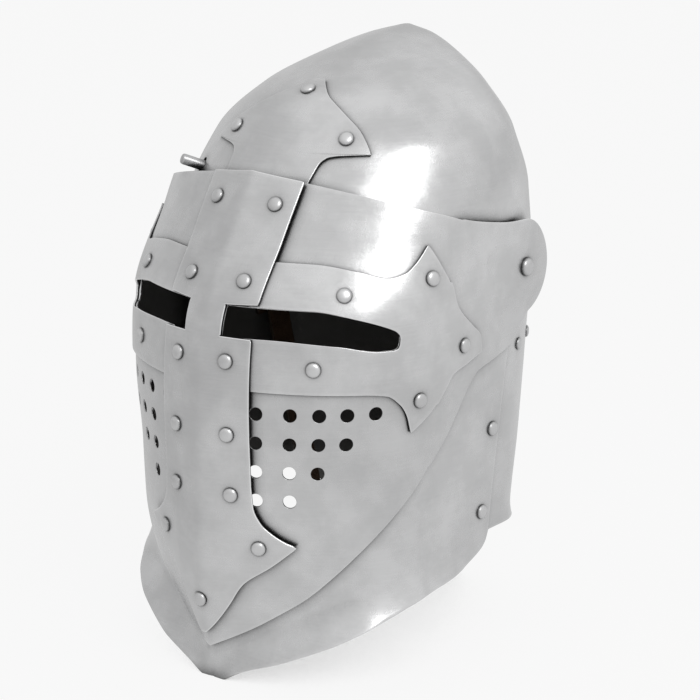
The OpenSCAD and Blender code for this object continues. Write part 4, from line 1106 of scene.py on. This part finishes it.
def sewn_linen(name):
    """Undyed linen: a plain weave on the cap's own UV map in mm, with sewing thread in the seams and
    painted shade in the creases beside them.
    """
    p = new_paint(name)
    uv = p.node("ShaderNodeUVMap", {"uv_map": "cloth"})
    u, v = (p.node("ShaderNodeSeparateXYZ", {}, [uv], axis) for axis in (0, 1))

    def wave(x, length):
        """sin(2 pi x / length)"""
        return (x * (2 * np.pi / length)).math("SINE")

    weave = wave(u, 1.3) * wave(v, 1.3)
    slubs, soil = p.noise(1, 3, (900, 900, 140)), p.noise(22, 4)
    thread = 1 - p.mark("seam").between(0.25, 0.75)
    stitch = thread * wave(u + v, 3.4).between(-0.4, 0.1)
    # painted shade: the linen's colour darkens in the creases within 4 mm of a seam
    fold = p.mark("seam").between(0.0, 4.0)
    colour = p.mix((0.47, 0.4, 0.29, 1), (0.76, 0.7, 0.57, 1), soil.between(0.25, 0.75))
    colour = p.tint(colour, (0.62 + 0.38 * fold) * (0.88 + 0.12 * weave) * (0.9 + 0.2 * slubs))
    colour = p.mix(colour, (0.82, 0.77, 0.66, 1), stitch)
    return p.finish(colour, 0.92, 0.5 * weave + 0.6 * slubs + 2.5 * stitch, 0.0002)


brass, leather, linen = old_brass("old_brass"), oiled_leather("oiled_leather"), sewn_linen("sewn_linen")

# %% Dress every piece
finishes = {"steel": (plate_steel, black_inside), "cross_steel": (cross_steel, black_inside),
            "rivet_steel": (rivet_steel,), "spring_steel": (spring_steel,) * 2, "washer_brass": (brass,),
            "leather": (leather,) * 2, "linen": (linen,), "buckle_brass": (brass,)}
kept = {node["node"]: node["material_slot"] for node in frame["record"]["subparts"]}
for piece in list(bpy.data.objects):
    if piece.type != "MESH":
        continue
    if piece.name in kept:
        for place in piece.material_slots:
            place.material = finishes[kept[piece.name]][0]
    elif "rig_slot" in piece:
        for material in finishes[piece["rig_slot"]]:
            piece.data.materials.append(material)
print("finishes:", ", ".join(finishes))

# %% [markdown]
# ## Light and ground
# Polished steel shows its surroundings more than its own colour, so it is lit as in a studio: one
# window-sized lamp on the upper right, whose reflection lies on the crown's side, a white room
# that is a little greyer away from the window, and a pale floor.  The floor is white to the
# camera and pale in the steel, with a painted falloff of the window's light that makes it greyer
# towards the left.  It keeps the helmet's shadow, and it isn't white inside the helmet, so that
# the sights and breaths look into the dark.

# %% World
TO_WINDOW = (0.5, 0.0, 0.85)
world = bpy.data.worlds.new("studio")
bpy.context.scene.world = world
room = Paint(world)
mirrored_ray = room.ray("Is Glossy Ray").math("MAXIMUM", room.ray("Is Transmission Ray"))
way = Wire(room, room.places.outputs["Generated"])
to_window = room.node("ShaderNodeVectorMath", {"operation": "DOT_PRODUCT"}, [way, TO_WINDOW],
                      out="Value")
walls = room.mix(grey(0.75), grey(1), to_window.between(0.05, 0.7))
lit = room.mix(grey(0.5), walls, mirrored_ray)
lit = room.mix(lit, grey(1), room.ray("Is Camera Ray"))
room.put(room.tree.nodes["Background"].inputs["Color"], lit)
bpy.context.scene.view_settings.view_transform = "Standard"

# %% Floor
FAR = 4
floor_mesh = bpy.data.meshes.new("floor")
floor_corners = [(-FAR, -FAR, 0), (FAR, -FAR, 0), (FAR, FAR, 0), (-FAR, FAR, 0)]
floor_mesh.from_pydata(floor_corners, [], [(0, 1, 2, 3)])
floor = bpy.data.objects.new("floor", floor_mesh)
bpy.context.scene.collection.objects.link(floor)
paper = new_paint("floor_paper")
paper.finish(grey(0.6), 0.9)
to_camera = paper.ray("Is Camera Ray")
in_steel, in_glass = paper.ray("Is Glossy Ray"), paper.ray("Is Transmission Ray")
seen = to_camera.math("MAXIMUM", in_steel).math("MAXIMUM", in_glass)
# painted falloff of the window's light: the floor's glow, as the steel mirrors it, is greyer towards the
# left
right = paper.node("ShaderNodeSeparateXYZ", {}, [paper.spot]).between(-0.9, 0.5)
tone = paper.mix(paper.mix(grey(0.68), grey(0.95), right), grey(1), to_camera)
glow = paper.node("ShaderNodeEmission", {}, {"Color": tone, "Strength": 1.0})
open_floor = paper.hollow(0.25).between(0.05, 0.35)
matt = Wire(paper, paper.tree.nodes["Principled BSDF"].outputs[0])
shown = paper.node("ShaderNodeMixShader", {}, {0: 0.9 * seen * open_floor, 1: matt, 2: glow})
paper.put(paper.tree.nodes["Material Output"].inputs["Surface"], shown)
floor_mesh.materials.append(paper.owner)

# %% Lamp
def lamp(name, size, watts, place, target):
    """A square soft lamp that looks at its target: its -Z axis points along target - place."""
    made = bpy.data.objects.new(name, bpy.data.lights.new(name, "AREA"))
    made.data.size, made.data.energy = size, watts
    made.location = place
    made.rotation_euler = (Vector(target) - Vector(place)).to_track_quat("-Z", "Y").to_euler()
    bpy.context.scene.collection.objects.link(made)


lamp("window", 1.2, 15, (1.44, -0.7, 1.84), (0.05, -0.02, 0.28))
